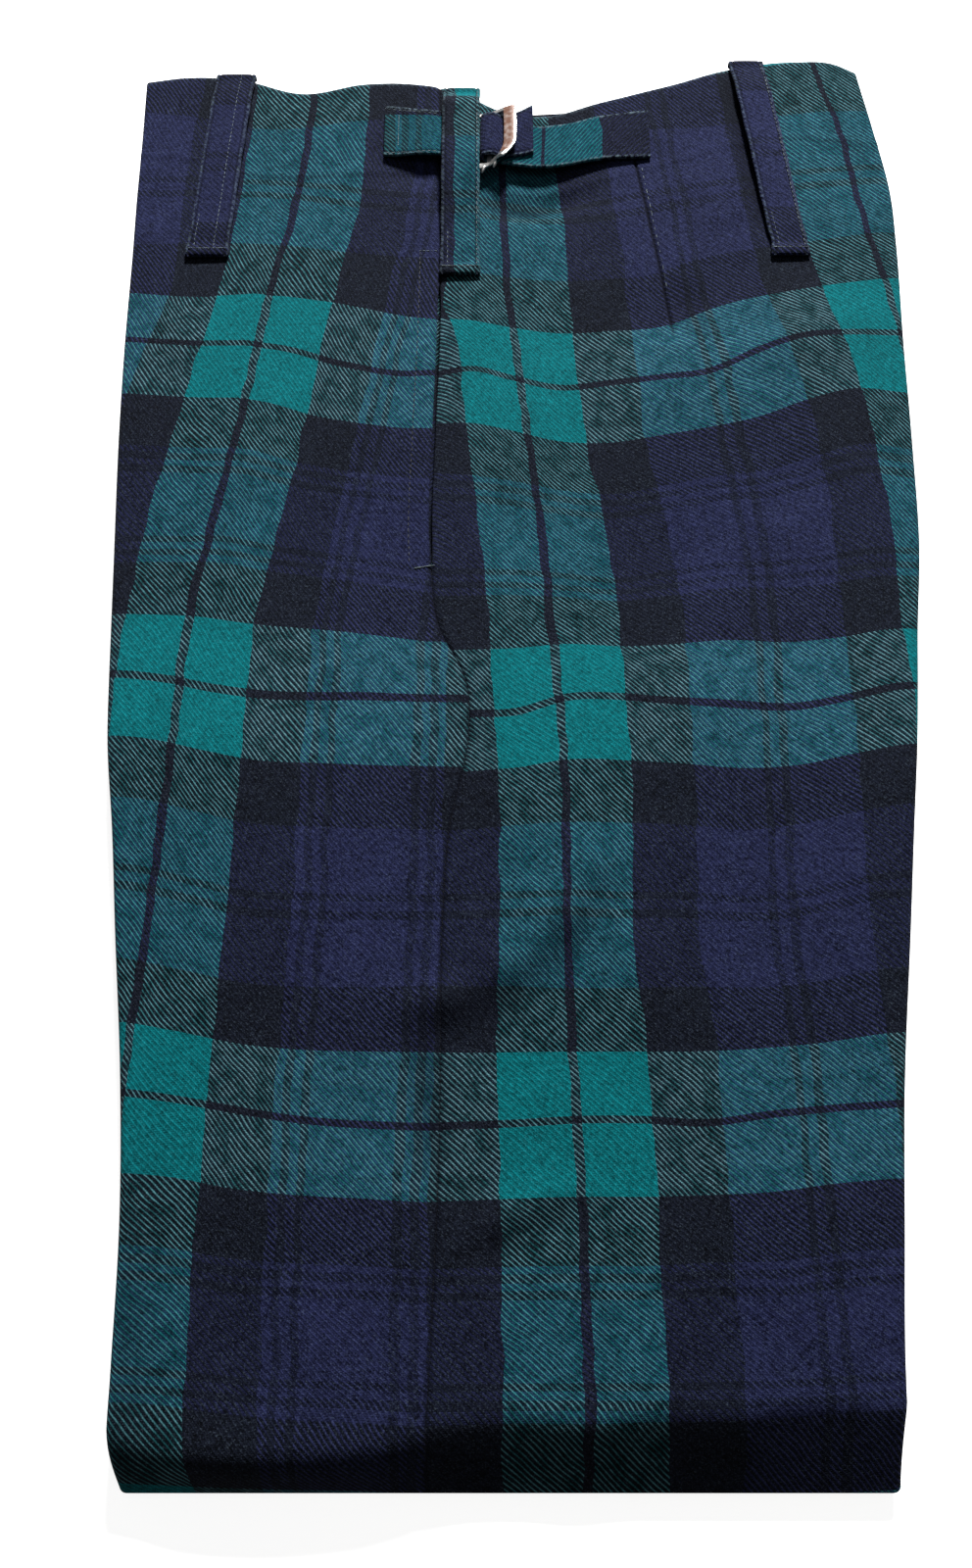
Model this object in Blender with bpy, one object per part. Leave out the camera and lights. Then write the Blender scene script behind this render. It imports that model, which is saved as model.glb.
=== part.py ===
"""Tartan trews for a child, lying on their side with the legs folded under below the knee.

+X runs from the front edge of the trews to the back edge, +Y from the knee fold to the waist, and +Z up.
The left leg's outer side faces up. The origin is under the middle of the folded trews, on the surface
that they lie on. Every size below is in millimetres, and the meshes are made in metres.
"""

import math
from bisect import bisect_right
from collections import namedtuple

import bpy
import numpy as np

MILLIMETRE = 0.001

# Cloth
CLOTH = 1.3
FACED_CLOTH = 2.2
SEAM_GAP = 0.3
LAYER_GAP = 1.1

# Fold and edges
FOLD_END = -290.8
FOLD_REACH_ABOVE = 26.0
FOLD_REACH_BELOW = 12.0
EDGE_ROLL = 2.3
EDGE_TUCK = 1.6
EDGE_MEET_GAP = 0.4
HEM_LINE = -24.0
WAIST_LINE = 280.0
WAIST_WAVE_FROM = 130.0
LOWER_LEG_INSET = 2.5
RIGHT_WAIST_INSET = 2.0

# Waist facing, on the inside of the waist edge
FACING_DEPTH = 44.0

# Pocket mouth, in the side seam
POCKET_TOP = 152.0
POCKET_FOOT = 22.0
POCKET_GAP = 1.2
POCKET_LIFT = 1.0
POCKET_SINK = 0.7
POCKET_EDGE_WIDTH = 14.0

# Upper side, from the knee fold to the waist: where the edges and the side seam lie, and the edges' height
Section = namedtuple("Section", "along front seam back height")
SECTIONS = (
    Section(-290.8, -121.0, -28.0, 112.6, 20.0),
    Section(-278, -122.9, -28.2, 113.4, 20.0),
    Section(-257, -123.7, -27.4, 115.9, 20.0),
    Section(-215, -125.1, -25.7, 120.9, 20.2),
    Section(-170, -129.1, -25.0, 126.0, 20.4),
    Section(-120, -135.8, -25.0, 133.6, 20.4),
    Section(-85, -140.4, -23.0, 138.9, 20.0),
    Section(-50, -145.8, -16.5, 144.4, 19.2),
    Section(-28, -148.0, -17.5, 147.6, 17.6),
    Section(-5, -150.2, -27.6, 151.0, 15.2),
    Section(30, -153.3, -31.2, 156.6, 12.4),
    Section(80, -157.0, -30.9, 160.1, 10.8),
    Section(128, -159.5, -29.8, 162.4, 9.8),
    Section(180, -161.1, -29.6, 165.4, 8.8),
    Section(207, -162.2, -29.8, 166.2, 8.0),
    Section(247, -163.3, -30.8, 162.6, 6.8),
    Section(280, -164.5, -31.0, 158.4, 6.2),
)

# Waist edge, from front to back
WaistPoint = namedtuple("WaistPoint", "across along")
WAIST_EDGE = (
    WaistPoint(-164.5, 276.0),
    WaistPoint(-146, 278.5),
    WaistPoint(-120, 276.5),
    WaistPoint(-92, 268.5),
    WaistPoint(-66, 274.0),
    WaistPoint(-48, 274.5),
    WaistPoint(-22, 269.0),
    WaistPoint(-4, 258.0),
    WaistPoint(14, 254.5),
    WaistPoint(40, 263.0),
    WaistPoint(76, 274.5),
    WaistPoint(103, 284.0),
    WaistPoint(130, 287.8),
    WaistPoint(150, 286.5),
    WaistPoint(158.4, 281.5),
)

# Soft folds of the upper side, from one end to the other. A rise below nought is a trough
Fold = namedtuple("Fold", "across_a along_a across_b along_b half_width rise")
FOLDS = (
    Fold(-98, 108, -118, -20, 9, 1.6),
    Fold(-78, 120, -96, -10, 9, -1.0),
    Fold(30, 92, 150, 140, 17, 1.8),
    Fold(20, 128, 128, 178, 14, -1.2),
    Fold(60, -60, 118, 60, 20, 1.4),
    Fold(-14, -40, -16, -265, 16, -2.4),
    Fold(18, -150, 66, -60, 16, 1.2),
    Fold(-60, -80, -84, -240, 24, 1.2),
    Fold(60, -120, 92, -250, 26, 1.3),
    Fold(-70, 30, -52, 130, 20, 1.0),
)
CROWN = 1.8

# Dart of the back panel, from the adjuster strap's sewn end down to its point
Dart = namedtuple("Dart", "across along")
DART_TOP = Dart(55.5, 236.0)
DART_POINT = Dart(67.4, 130.7)
DART_HALF_WIDTH = 1.6
DART_DEPTH = 0.6

# Belt loops: the middle of each at the waist edge and at its foot, and how far it stands off in between
Loop = namedtuple("Loop", "name top foot foot_along width rise")
LOOPS = (
    Loop("belt_loop_front", -123.2, -128.2, 171.5, 17.5, 1.6),
    Loop("belt_loop_side", -21.2, -21.2, 161.5, 16.6, 7.2),
    Loop("belt_loop_back", 108.0, 118.8, 172.5, 15.5, 1.8),
)
LOOP_TOP_DROP = 3.0
LOOP_THICKNESS = 2.0
LOOP_FOOT_THICKNESS = 3.8
LOOP_FOOT_LENGTH = 5.0
LOOP_FOOT_EXTRA_WIDTH = 2.5
LOOP_SHARES = (0, 0.05, 0.09, 0.13, 0.2, 0.27, 0.34, 0.41, 0.5, 0.6, 0.7, 0.8, 0.9, 1)

# Side adjuster: middles of its straps, with the height of their underside over the panel, and their width
StrapPoint = namedtuple("StrapPoint", "across along raised width")
BACK_STRAP = (
    StrapPoint(62.0, 241.5, 0.3, 27.0),
    StrapPoint(57.0, 241.0, 0.35, 26.5),
    StrapPoint(39.0, 238.0, 0.8, 24.5),
    StrapPoint(24.0, 233.2, 1.1, 23.4),
    StrapPoint(11.0, 231.6, 1.2, 23.2),
    StrapPoint(2.0, 233.2, 1.2, 23.2),
)
CHAPE_STRAP = (
    StrapPoint(-55.0, 243.2, 0.3, 28.6),
    StrapPoint(-50.0, 242.8, 0.4, 28.0),
    StrapPoint(-42.0, 241.2, 1.6, 26.4),
    StrapPoint(-34.0, 239.2, 3.2, 25.0),
)
STRAP_CLOTH = 1.5
BAR_TURN_STRETCH = 1.3
TAIL_END = 9.1
TAIL_LEAN = 2.6
SLIDE_MIDDLE = 234.6
SLIDE_LENGTH = 22.7
SLIDE_HEIGHT = 28.0
SLIDE_METAL = 1.2
SLIDE_RAIL = 1.8
SLIDE_FRONT_BAR = 5.2
SLIDE_BAR = 2.4
SLIDE_BAR_PITCH = 9.6
SLIDE_BACK_END = -19.5
SLIDE_BACK_RAISED = 10.8
SLIDE_FRONT_RAISED = 16.8
SLIDE_BOW = 0.5

# Colours of the finished cloth and metal
NAVY = (0.030, 0.034, 0.085)
DARK_TEAL = (0.020, 0.110, 0.120)
NEAR_BLACK = (0.016, 0.020, 0.036)
STEEL = (0.620, 0.600, 0.580)


def smooth_through(pairs):
    """A smooth function through (place, value) pairs, which keeps the end values beyond both ends."""
    places = [float(place) for place, _ in pairs]
    values = [float(value) for _, value in pairs]
    slopes = np.gradient(values, places)

    def value_at(place):
        if place <= places[0]:
            return values[0]
        if place >= places[-1]:
            return values[-1]
        i = bisect_right(places, place) - 1
        span = places[i + 1] - places[i]
        t = (place - places[i]) / span
        rise = (2 * t**3 - 3 * t**2 + 1) * values[i] + (3 * t**2 - 2 * t**3) * values[i + 1]
        lean = (t**3 - 2 * t**2 + t) * slopes[i] + (t**3 - t**2) * slopes[i + 1]
        return rise + span * lean

    return value_at


def ease(value, start, end):
    """0 at start and 1 at end, level at both."""
    t = min(max((value - start) / (end - start), 0.0), 1.0)
    return t * t * (3 - 2 * t)


front_edge = smooth_through([(s.along, s.front) for s in SECTIONS])
back_edge = smooth_through([(s.along, s.back) for s in SECTIONS])
side_seam = smooth_through([(s.along, s.seam) for s in SECTIONS])
edge_height = smooth_through([(s.along, s.height) for s in SECTIONS])
waist_edge = smooth_through([(w.across, w.along) for w in WAIST_EDGE])


def waved(across, along):
    """A place along the trews, moved so that the last row follows the waist edge."""
    return along + (waist_edge(across) - WAIST_LINE) * ease(along, WAIST_WAVE_FROM, WAIST_LINE)


def fold_rise(across, along):
    """What the soft folds add to the height of the upper side."""
    total = 0.0
    for fold in FOLDS:
        run = (fold.across_b - fold.across_a, fold.along_b - fold.along_a)
        place = (across - fold.across_a, along - fold.along_a)
        length = math.hypot(*run)
        t = (place[0] * run[0] + place[1] * run[1]) / length**2
        aside = (place[0] * run[1] - place[1] * run[0]) / length
        taper = ease(t, -0.12, 0.3) * (1 - ease(t, 0.7, 1.12))
        total += fold.rise * taper * math.exp(-((aside / fold.half_width) ** 2))
    return total


def upper_height(across, along):
    """Height of the outer face of the upper side over the surface that the trews lie on."""
    front, back = front_edge(along), back_edge(along)
    from_middle = min(abs((across - front) / (back - front) * 2 - 1), 1.0)
    crown = CROWN * (1 - from_middle**4) * (1 - 0.6 * ease(along, 120, 250))
    folds = fold_rise(across, along) * (1 - from_middle**8)
    return edge_height(along) + crown + folds


def pocket_share(along):
    """1 beside the pocket mouth and 0 away from it."""
    foot = ease(along, POCKET_FOOT - 6, POCKET_FOOT + 14)
    return foot * (1 - ease(along, POCKET_TOP - 6, POCKET_TOP + 14))


def dart_line(along):
    """Where the dart runs, carried on straight down from its point as a line of the mesh."""
    lean = (DART_POINT.across - DART_TOP.across) / (DART_POINT.along - DART_TOP.along)
    return DART_TOP.across + (max(along, DART_POINT.along) - DART_TOP.along) * lean


def wall_thickness(across, along, front):
    """Cloth, doubled by the facing at the waist and by the turned edge of the pocket mouth."""
    faced = ease(along, WAIST_LINE - FACING_DEPTH - 12, WAIST_LINE - FACING_DEPTH)
    if front:
        beside = 1 - ease(abs(across - side_seam(along)), POCKET_EDGE_WIDTH * 0.6, POCKET_EDGE_WIDTH)
        faced = max(faced, beside * pocket_share(along))
    return CLOTH + (FACED_CLOTH - CLOTH) * faced


def roll_radius(along):
    """Radius of the rolled edge: the upper and the lower edge meet where there are only two layers."""
    return min(EDGE_ROLL, (edge_height(along) - EDGE_MEET_GAP) / 4)


def new_material(name, colour, roughness, metallic=0.0):
    material = bpy.data.materials.new(name)
    material.use_nodes = True
    shader = material.node_tree.nodes["Principled BSDF"]
    shader.inputs["Base Color"].default_value = (*colour, 1.0)
    shader.inputs["Roughness"].default_value = roughness
    shader.inputs["Metallic"].default_value = metallic
    return material


def new_object(name, points, faces, material, smooth=True):
    mesh = bpy.data.meshes.new(name)
    mesh.from_pydata([tuple(c * MILLIMETRE for c in point) for point in points], [], faces)
    mesh.update()
    if smooth:
        mesh.shade_smooth()
        mesh.set_sharp_from_angle(angle=math.radians(50))
    mesh.materials.append(material)
    thing = bpy.data.objects.new(name, mesh)
    bpy.context.scene.collection.objects.link(thing)
    return thing


def grid_normals(grid):
    """Unit normals of a grid of points, from the lines along and across it."""
    along = np.gradient(grid, axis=0)
    across = np.gradient(grid, axis=1)
    normals = np.cross(across, along)
    return normals / np.linalg.norm(normals, axis=2, keepdims=True)


def wall_from_grid(name, outer, thickness, material, flip):
    """A closed wall: the outer grid of points, and the same grid moved in by the cloth's thickness."""
    normals = grid_normals(outer) * (-1 if flip else 1)
    inner = outer - normals * thickness[..., None]
    rows, columns = outer.shape[:2]
    count = rows * columns
    points = [tuple(p) for p in outer.reshape(-1, 3)] + [tuple(p) for p in inner.reshape(-1, 3)]

    def at(row, column):
        return row * columns + column

    faces = []
    for row in range(rows - 1):
        for column in range(columns - 1):
            quad = [at(row, column), at(row, column + 1), at(row + 1, column + 1), at(row + 1, column)]
            faces.append(quad)
            faces.append([count + corner for corner in reversed(quad)])
    rim = [at(0, c) for c in range(columns)]
    rim += [at(r, columns - 1) for r in range(1, rows)]
    rim += [at(rows - 1, c) for c in range(columns - 2, -1, -1)]
    rim += [at(r, 0) for r in range(rows - 2, 0, -1)]
    for i, corner in enumerate(rim):
        following = rim[(i + 1) % len(rim)]
        faces.append([following, corner, count + corner, count + following])
    if flip:
        faces = [list(reversed(face)) for face in faces]
    return new_object(name, points, faces, material)


# A row of a panel: where it lies on the way round, and the direction that its outer face looks in
Row = namedtuple("Row", "along turn under")
TOP_ROWS = (280, 268, 254, 238, 218, 194, 168, 140, 112, 84, 56, 30, 8, -12, -34, -62, -100, -145, -190, -236)
FOLD_TURNS = (0, 30, 55, 76, 96, 120, 148, 180)
LOWER_ROWS = (-252, -190, -130, -75, HEM_LINE)
ROLL_TURNS = (0, 35, 70, 105, 145, 180)


def left_rows():
    """Rows of a left panel, from the waist over the knee fold and back under to the hem."""
    rows = [Row(along, 0, False) for along in TOP_ROWS]
    rows += [Row(None, turn, False) for turn in FOLD_TURNS]
    return rows + [Row(along, 180, True) for along in LOWER_ROWS]


def right_rows():
    """Rows of a right panel, on the underside between the hem line and the waist."""
    places = [along for along in reversed(TOP_ROWS) if along > HEM_LINE]
    return [Row(along, 180, True) for along in [HEM_LINE + SEAM_GAP] + places]


def row_place(row, across):
    """(y, z) of the outer face at one place across a row, and the (y, z) direction that it looks in."""
    turn = math.radians(row.turn)
    facing = (-math.sin(turn), math.cos(turn))
    if row.along is not None and not row.under:
        return waved(across, row.along), upper_height(across, row.along), facing
    if row.along is not None:
        return waved(across, row.along), 0.0, facing
    if row.turn <= 90:
        start = FOLD_END + FOLD_REACH_ABOVE
        half = edge_height(start) / 2
        y = start - FOLD_REACH_ABOVE * math.sin(turn)
        z = half + (upper_height(across, start) - half) * math.cos(turn)
        return y, z, facing
    start = FOLD_END + FOLD_REACH_BELOW
    half = edge_height(start) / 2
    return start - FOLD_REACH_BELOW * math.sin(turn), half + half * math.cos(turn), facing


def nominal_along(row):
    """The place whose edges and seam a row follows."""
    if row.along is not None:
        return row.along
    reach = FOLD_REACH_ABOVE if row.turn <= 90 else FOLD_REACH_BELOW
    return FOLD_END + reach * (1 - math.sin(math.radians(row.turn)))


def panel_columns(start, end, dart, counts):
    """Places across a panel from its seam to its rolled edge, with three of them on a dart."""
    if dart is None:
        return list(np.linspace(start, end, counts[0] + 1))
    near, far = dart - DART_HALF_WIDTH, dart + DART_HALF_WIDTH
    before = list(np.linspace(start, near, counts[0] + 1))
    return before + [dart] + list(np.linspace(far, end, counts[1] + 1))


def panel(name, rows, front, darted, counts, material):
    """One panel: flat from the side seam to near the edge, then rolled over and tucked under itself."""
    side = -1 if front else 1
    edge_at = front_edge if front else back_edge
    grid, thickness = [], []
    for row in rows:
        along = nominal_along(row)
        radius = roll_radius(along)
        edge = edge_at(along)
        if row.under:
            edge -= side * LOWER_LEG_INSET * ease(along, FOLD_END, FOLD_END + 120)
        gap = SEAM_GAP / 2
        if not row.under:
            gap += POCKET_GAP / 2 * pocket_share(along)
        start = side_seam(along) + side * gap
        turned_from = edge - side * radius
        line = []
        dart = dart_line(along) if darted else None
        for across in panel_columns(start, turned_from, dart, counts):
            y, z, facing = row_place(row, across)
            if row.turn == 0:
                z += surface_detail(across, along, front)
            if row.under and name.startswith("right"):
                y -= RIGHT_WAIST_INSET * ease(along, 200, WAIST_LINE)
            line.append((across, y, z))
        y, z, facing = row_place(row, turned_from)
        for turn in [math.radians(t) for t in ROLL_TURNS[1:]]:
            drop = radius * (1 - math.cos(turn))
            x = turned_from + side * radius * math.sin(turn)
            line.append((x, y - facing[0] * drop, z - facing[1] * drop))
        last = line[-1]
        line.append((last[0] - side * EDGE_TUCK, last[1], last[2]))
        grid.append(line)
        flat = len(line) - len(ROLL_TURNS)
        walls = [wall_thickness(p[0], along, front and not row.under) for p in line[:flat]]
        rolled = min(CLOTH, radius - 0.35)
        walls[-1] = min(walls[-1], rolled)
        thickness.append(walls + [rolled] * (len(line) - flat))
    return wall_from_grid(name, np.array(grid), np.array(thickness), material, flip=not front)


def surface_detail(across, along, front):
    """The lifted edge of the pocket mouth, the sunk edge behind it, and the dart's groove."""
    from_seam = abs(across - side_seam(along))
    beside = (1 - ease(from_seam, 0, POCKET_EDGE_WIDTH)) * pocket_share(along)
    if front:
        return POCKET_LIFT * beside
    groove = 0.0
    if DART_POINT.along < along < DART_TOP.along and abs(across - dart_line(along)) < 0.5 * DART_HALF_WIDTH:
        groove = DART_DEPTH
    return -POCKET_SINK * beside - groove


def folded_layers(material):
    """The hidden layers of both legs and the seat, as one body whose long edges show the folded layers."""
    flat_inset, lobe_inset, lobe_shoulder, groove_inset, seat_groove_inset = 9.0, 0.9, 1.6, 2.8, 1.2
    top_shares = (0.05, 0.14, 0.23, 0.31, 0.37, 0.42, 0.46, 0.5, 0.58, 0.66, 0.75, 0.84, 0.95)
    under_shares = (0.25, 0.5, 0.75)
    start_above = FOLD_END + FOLD_REACH_ABOVE
    start_below = FOLD_END + FOLD_REACH_BELOW
    clear_of_wall = CLOTH + LAYER_GAP
    clear_of_roll = 2 * EDGE_ROLL + LAYER_GAP
    stations = [FOLD_END + 2.6, FOLD_END + 5, FOLD_END + 10, FOLD_END + 18]
    stations += sorted(along for along in TOP_ROWS if along < WAIST_LINE - FACING_DEPTH)
    rings = []
    for along in stations:
        front, back = front_edge(along), back_edge(along)
        half = edge_height(along) / 2
        above = rounded_end(start_above - along, FOLD_REACH_ABOVE - clear_of_wall)
        below = rounded_end(start_below - along, FOLD_REACH_BELOW - clear_of_wall)
        bottom = half - (half - clear_of_wall) * below
        lobe_foot = half - (half - clear_of_roll) * below
        lobe_head = half + (half - clear_of_roll) * above
        room = max(lobe_head - lobe_foot, 0.8)
        lobe_foot = half - room / 2
        reach = ease(room, 1.0, 5.0) * ease(along, start_below + 1, start_below + 14)
        groove = groove_inset if along < HEM_LINE else seat_groove_inset
        shape = (
            (flat_inset, bottom),
            (flat_inset, lobe_foot - 0.25),
            (lobe_inset + lobe_shoulder, lobe_foot),
            (lobe_inset, lobe_foot + 0.14 * room),
            (lobe_inset, lobe_foot + 0.36 * room),
            (groove, half),
            (lobe_inset, lobe_foot + 0.64 * room),
            (lobe_inset, lobe_foot + 0.86 * room),
            (lobe_inset + lobe_shoulder, lobe_foot + room),
            (flat_inset, lobe_foot + room + 0.25),
        )
        insets = [(flat_inset + (inset - flat_inset) * reach, z) for inset, z in shape]

        def top_at(across):
            wall = wall_thickness(across, along, True) + LAYER_GAP
            sunk = POCKET_SINK * pocket_share(along) + (DART_DEPTH if along > DART_POINT.along - 20 else 0.0)
            return half + (upper_height(across, max(along, start_above)) - wall - sunk - half) * above

        width = back - front - 2 * flat_inset
        ring = [(back - inset, z) for inset, z in insets]
        ring += [(x, top_at(x)) for x in (front + flat_inset + width * s for s in reversed(top_shares))]
        ring += [(front + inset, z) for inset, z in reversed(insets)]
        ring += [(front + flat_inset + width * share, bottom) for share in under_shares]
        rings.append([(x, waved(x, along), z) for x, z in ring])
    return loft("folded_layers", rings, material)


def rounded_end(past, reach):
    """1 before the fold begins, falling to nought along a quarter circle."""
    return math.sqrt(max(0.0, 1 - (max(0.0, past) / reach) ** 2))


def loft(name, rings, material, smooth=True):
    """A closed body through rings of equally many points, with a cap on both ends."""
    count = len(rings[0])
    points = [point for ring in rings for point in ring]
    faces = []
    for r in range(len(rings) - 1):
        for i in range(count):
            j = (i + 1) % count
            faces.append([r * count + i, (r + 1) * count + i, (r + 1) * count + j, r * count + j])
    for ring_start, turned in ((0, False), ((len(rings) - 1) * count, True)):
        middle = len(points)
        points.append(tuple(np.mean(points[ring_start : ring_start + count], axis=0)))
        for i in range(count):
            pair = [ring_start + i, ring_start + (i + 1) % count]
            faces.append([middle] + (list(reversed(pair)) if turned else pair))
    if signed_volume(points, faces) < 0:
        faces = [list(reversed(face)) for face in faces]
    return new_object(name, points, faces, material, smooth)


def signed_volume(points, faces):
    """Six times the volume inside the faces, below nought where they look inwards."""
    total = 0.0
    for face in faces:
        a = np.array(points[face[0]])
        for i in range(1, len(face) - 1):
            total += float(np.dot(a, np.cross(points[face[i]], points[face[i + 1]])))
    return total


# A cross-section of a ribbon: its middle, the direction across it, its width and its thickness
Cut = namedtuple("Cut", "middle across width thickness")


def ribbon(name, cuts, material):
    """A flat strip with rounded long edges, through its cross-sections."""
    middles = np.array([cut.middle for cut in cuts])
    runs = np.gradient(middles, axis=0)
    rings = []
    for cut, run in zip(cuts, runs):
        run = run / np.linalg.norm(run)
        across = np.array(cut.across) / np.linalg.norm(cut.across)
        up = np.cross(run, across)
        up = up / np.linalg.norm(up)
        half, thick = cut.width / 2, cut.thickness / 2
        corner = min(0.8 * thick, 0.9)
        outline = (
            (-half, -thick + corner),
            (-half + corner, -thick),
            (half - corner, -thick),
            (half, -thick + corner),
            (half, thick - corner),
            (half - corner, thick),
            (-half + corner, thick),
            (-half, thick - corner),
        )
        middle = np.array(cut.middle)
        rings.append([tuple(middle + across * a + up * u) for a, u in outline])
    return loft(name, rings, material)


def belt_loop(loop, material):
    """A narrow strip from the waist edge to its turned and tacked foot, standing off in between."""
    top_along = waist_edge(loop.top) - LOOP_TOP_DROP
    cuts = []
    for share in LOOP_SHARES:
        along = top_along + (loop.foot_along + LOOP_FOOT_LENGTH - top_along) * share
        across = loop.top + (loop.foot - loop.top) * share
        rise = loop.rise * ease(share, 0.0, 0.13) * (1 - ease(share, 0.41, 0.86))
        base = max(panel_top(across + side * loop.width / 2, along) for side in (-1, 0, 1)) + SEAM_GAP
        middle = (across, along, base + rise + LOOP_THICKNESS / 2)
        cuts.append(Cut(middle, (1, 0, 0), loop.width, LOOP_THICKNESS))
    for share in (0.08, 0.5, 0.92):
        along = loop.foot_along + LOOP_FOOT_LENGTH * (1 - share) - 0.8
        thick = LOOP_FOOT_THICKNESS - (1.0 if share > 0.9 else 0.0)
        base = max(panel_top(loop.foot + side * loop.width / 2, along) for side in (-1, 0, 1)) + SEAM_GAP
        height = base + thick / 2 + 0.1
        cuts.append(Cut((loop.foot, along, height), (1, 0, 0), loop.width + LOOP_FOOT_EXTRA_WIDTH, thick))
    return ribbon(loop.name, cuts, material)


def panel_top(across, along):
    """Height of the panel's outer face at a real place, where a row may have been moved by the waist wave."""
    return upper_height(across, unwaved(across, along))


def unwaved(across, along):
    """The nominal place of a row that the waist wave moves to a place along the trews."""
    nominal = along
    for _ in range(12):
        nominal += along - waved(across, nominal)
    return min(nominal, WAIST_LINE)


def slide_height(across):
    """Height of the slide's underside: it is bowed, and its front bar stands higher than its back bar."""
    share = min(max((across - SLIDE_BACK_END) / SLIDE_LENGTH, 0.0), 1.0)
    return SLIDE_BACK_RAISED + (SLIDE_FRONT_RAISED - SLIDE_BACK_RAISED) * share**1.5


def slide_buckle(material):
    """A three-bar slide: two windows in a bowed plate, with a broad front bar."""
    left = SLIDE_BACK_END
    right = left + SLIDE_LENGTH
    bar = left + SLIDE_BAR_PITCH
    front_bar = right - SLIDE_FRONT_BAR
    xs = [left, left + SLIDE_BAR, bar, bar + SLIDE_BAR, front_bar, right - SLIDE_FRONT_BAR / 2, right]
    low = SLIDE_MIDDLE - SLIDE_HEIGHT / 2
    high = SLIDE_MIDDLE + SLIDE_HEIGHT / 2
    inside = [low + SLIDE_RAIL + (high - low - 2 * SLIDE_RAIL) * k / 6 for k in range(7)]
    ys = [low] + inside + [high]

    def is_metal(i, j):
        rail = j in (0, len(ys) - 2)
        bar_column = i in (0, 2, 4, 5)
        return rail or bar_column

    def height(x, y, top):
        bow = SLIDE_BOW * (1 - ((y - SLIDE_MIDDLE) / (SLIDE_HEIGHT / 2)) ** 2)
        crown = 0.5 if top and abs(x - (right - SLIDE_FRONT_BAR / 2)) < 0.1 else 0.0
        return slide_height(x) + bow + crown + (SLIDE_METAL if top else 0.0)

    points, faces, index = [], [], {}

    def corner(i, j, top):
        if (i, j, top) not in index:
            index[i, j, top] = len(points)
            points.append((xs[i], ys[j], height(xs[i], ys[j], top)))
        return index[i, j, top]

    columns, lines = len(xs) - 1, len(ys) - 1
    for i in range(columns):
        for j in range(lines):
            if not is_metal(i, j):
                continue
            ring = [(i, j), (i + 1, j), (i + 1, j + 1), (i, j + 1)]
            faces.append([corner(a, b, True) for a, b in ring])
            faces.append([corner(a, b, False) for a, b in reversed(ring)])
            neighbours = [(i, j - 1), (i + 1, j), (i, j + 1), (i - 1, j)]
            for k, (a, b) in enumerate(neighbours):
                if 0 <= a < columns and 0 <= b < lines and is_metal(a, b):
                    continue
                p, q = ring[k], ring[(k + 1) % 4]
                faces.append([corner(*p, False), corner(*q, False), corner(*q, True), corner(*p, True)])
    if signed_volume(points, faces) < 0:
        faces = [list(reversed(face)) for face in faces]
    return new_object("waist_slide_buckle", points, faces, material)


def strap_cuts(table):
    """The cross-sections of a strap where it lies over the panel."""
    cuts = []
    for point in table:
        edges = (point.along - point.width / 2, point.along + point.width / 2)
        floor = max(panel_top(point.across, edge) for edge in edges)
        height = floor + point.raised + STRAP_CLOTH / 2
        cuts.append(Cut((point.across, point.along, height), (0, 1, 0), point.width, STRAP_CLOTH))
    return cuts


def turn_round_bar(bar_middle, inward, degrees, width):
    """Cross-sections of a strap's turn round one bar of the slide."""
    clear = SEAM_GAP + STRAP_CLOTH / 2
    under = slide_height(bar_middle - SLIDE_BAR / 2) - clear
    over = slide_height(bar_middle + SLIDE_BAR / 2) + SLIDE_METAL + SLIDE_BOW + clear
    radius = (over - under) / 2
    cuts = []
    for turn in degrees:
        angle = math.radians(turn)
        x = bar_middle + inward + BAR_TURN_STRETCH * radius * math.cos(angle)
        z = (over + under) / 2 + radius * math.sin(angle)
        cuts.append(Cut((x, SLIDE_MIDDLE, z), (0, 1, 0), width, STRAP_CLOTH))
    return cuts


def adjuster_strap(material):
    """The strap from the back panel, whose end turns round the slide's middle bar and under its front bar."""
    width = BACK_STRAP[-1].width
    middle_bar = SLIDE_BACK_END + SLIDE_BAR_PITCH + SLIDE_BAR / 2
    cuts = strap_cuts(BACK_STRAP)
    cuts += turn_round_bar(middle_bar, -0.4, (-90, -120, -150, -180, -210, -240, -270), width)
    front_bar = SLIDE_BACK_END + SLIDE_LENGTH - SLIDE_FRONT_BAR
    under = slide_height(front_bar) - SEAM_GAP - STRAP_CLOTH / 2
    start = cuts[-1].middle
    drop = start[2] - under
    for share, along in ((0.3, 0.1), (0.7, 0.45), (1.0, 1.0)):
        x = start[0] + (front_bar - start[0]) * share
        z = start[2] - drop * ease(share, 0.28, 1)
        cuts.append(Cut((x, SLIDE_MIDDLE + 0.4 * along, z), (0, 1, 0), width, STRAP_CLOTH))
    for share in (0.5, 1.0):
        x = front_bar + (TAIL_END - front_bar) * share
        lean = TAIL_LEAN * max(0.0, share - 0.4)
        cuts.append(Cut((x, SLIDE_MIDDLE + 0.4 + lean, under + 0.5 * share), (0, 1, 0), width, STRAP_CLOTH))
    return ribbon("adjuster_strap", cuts, material)


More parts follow.
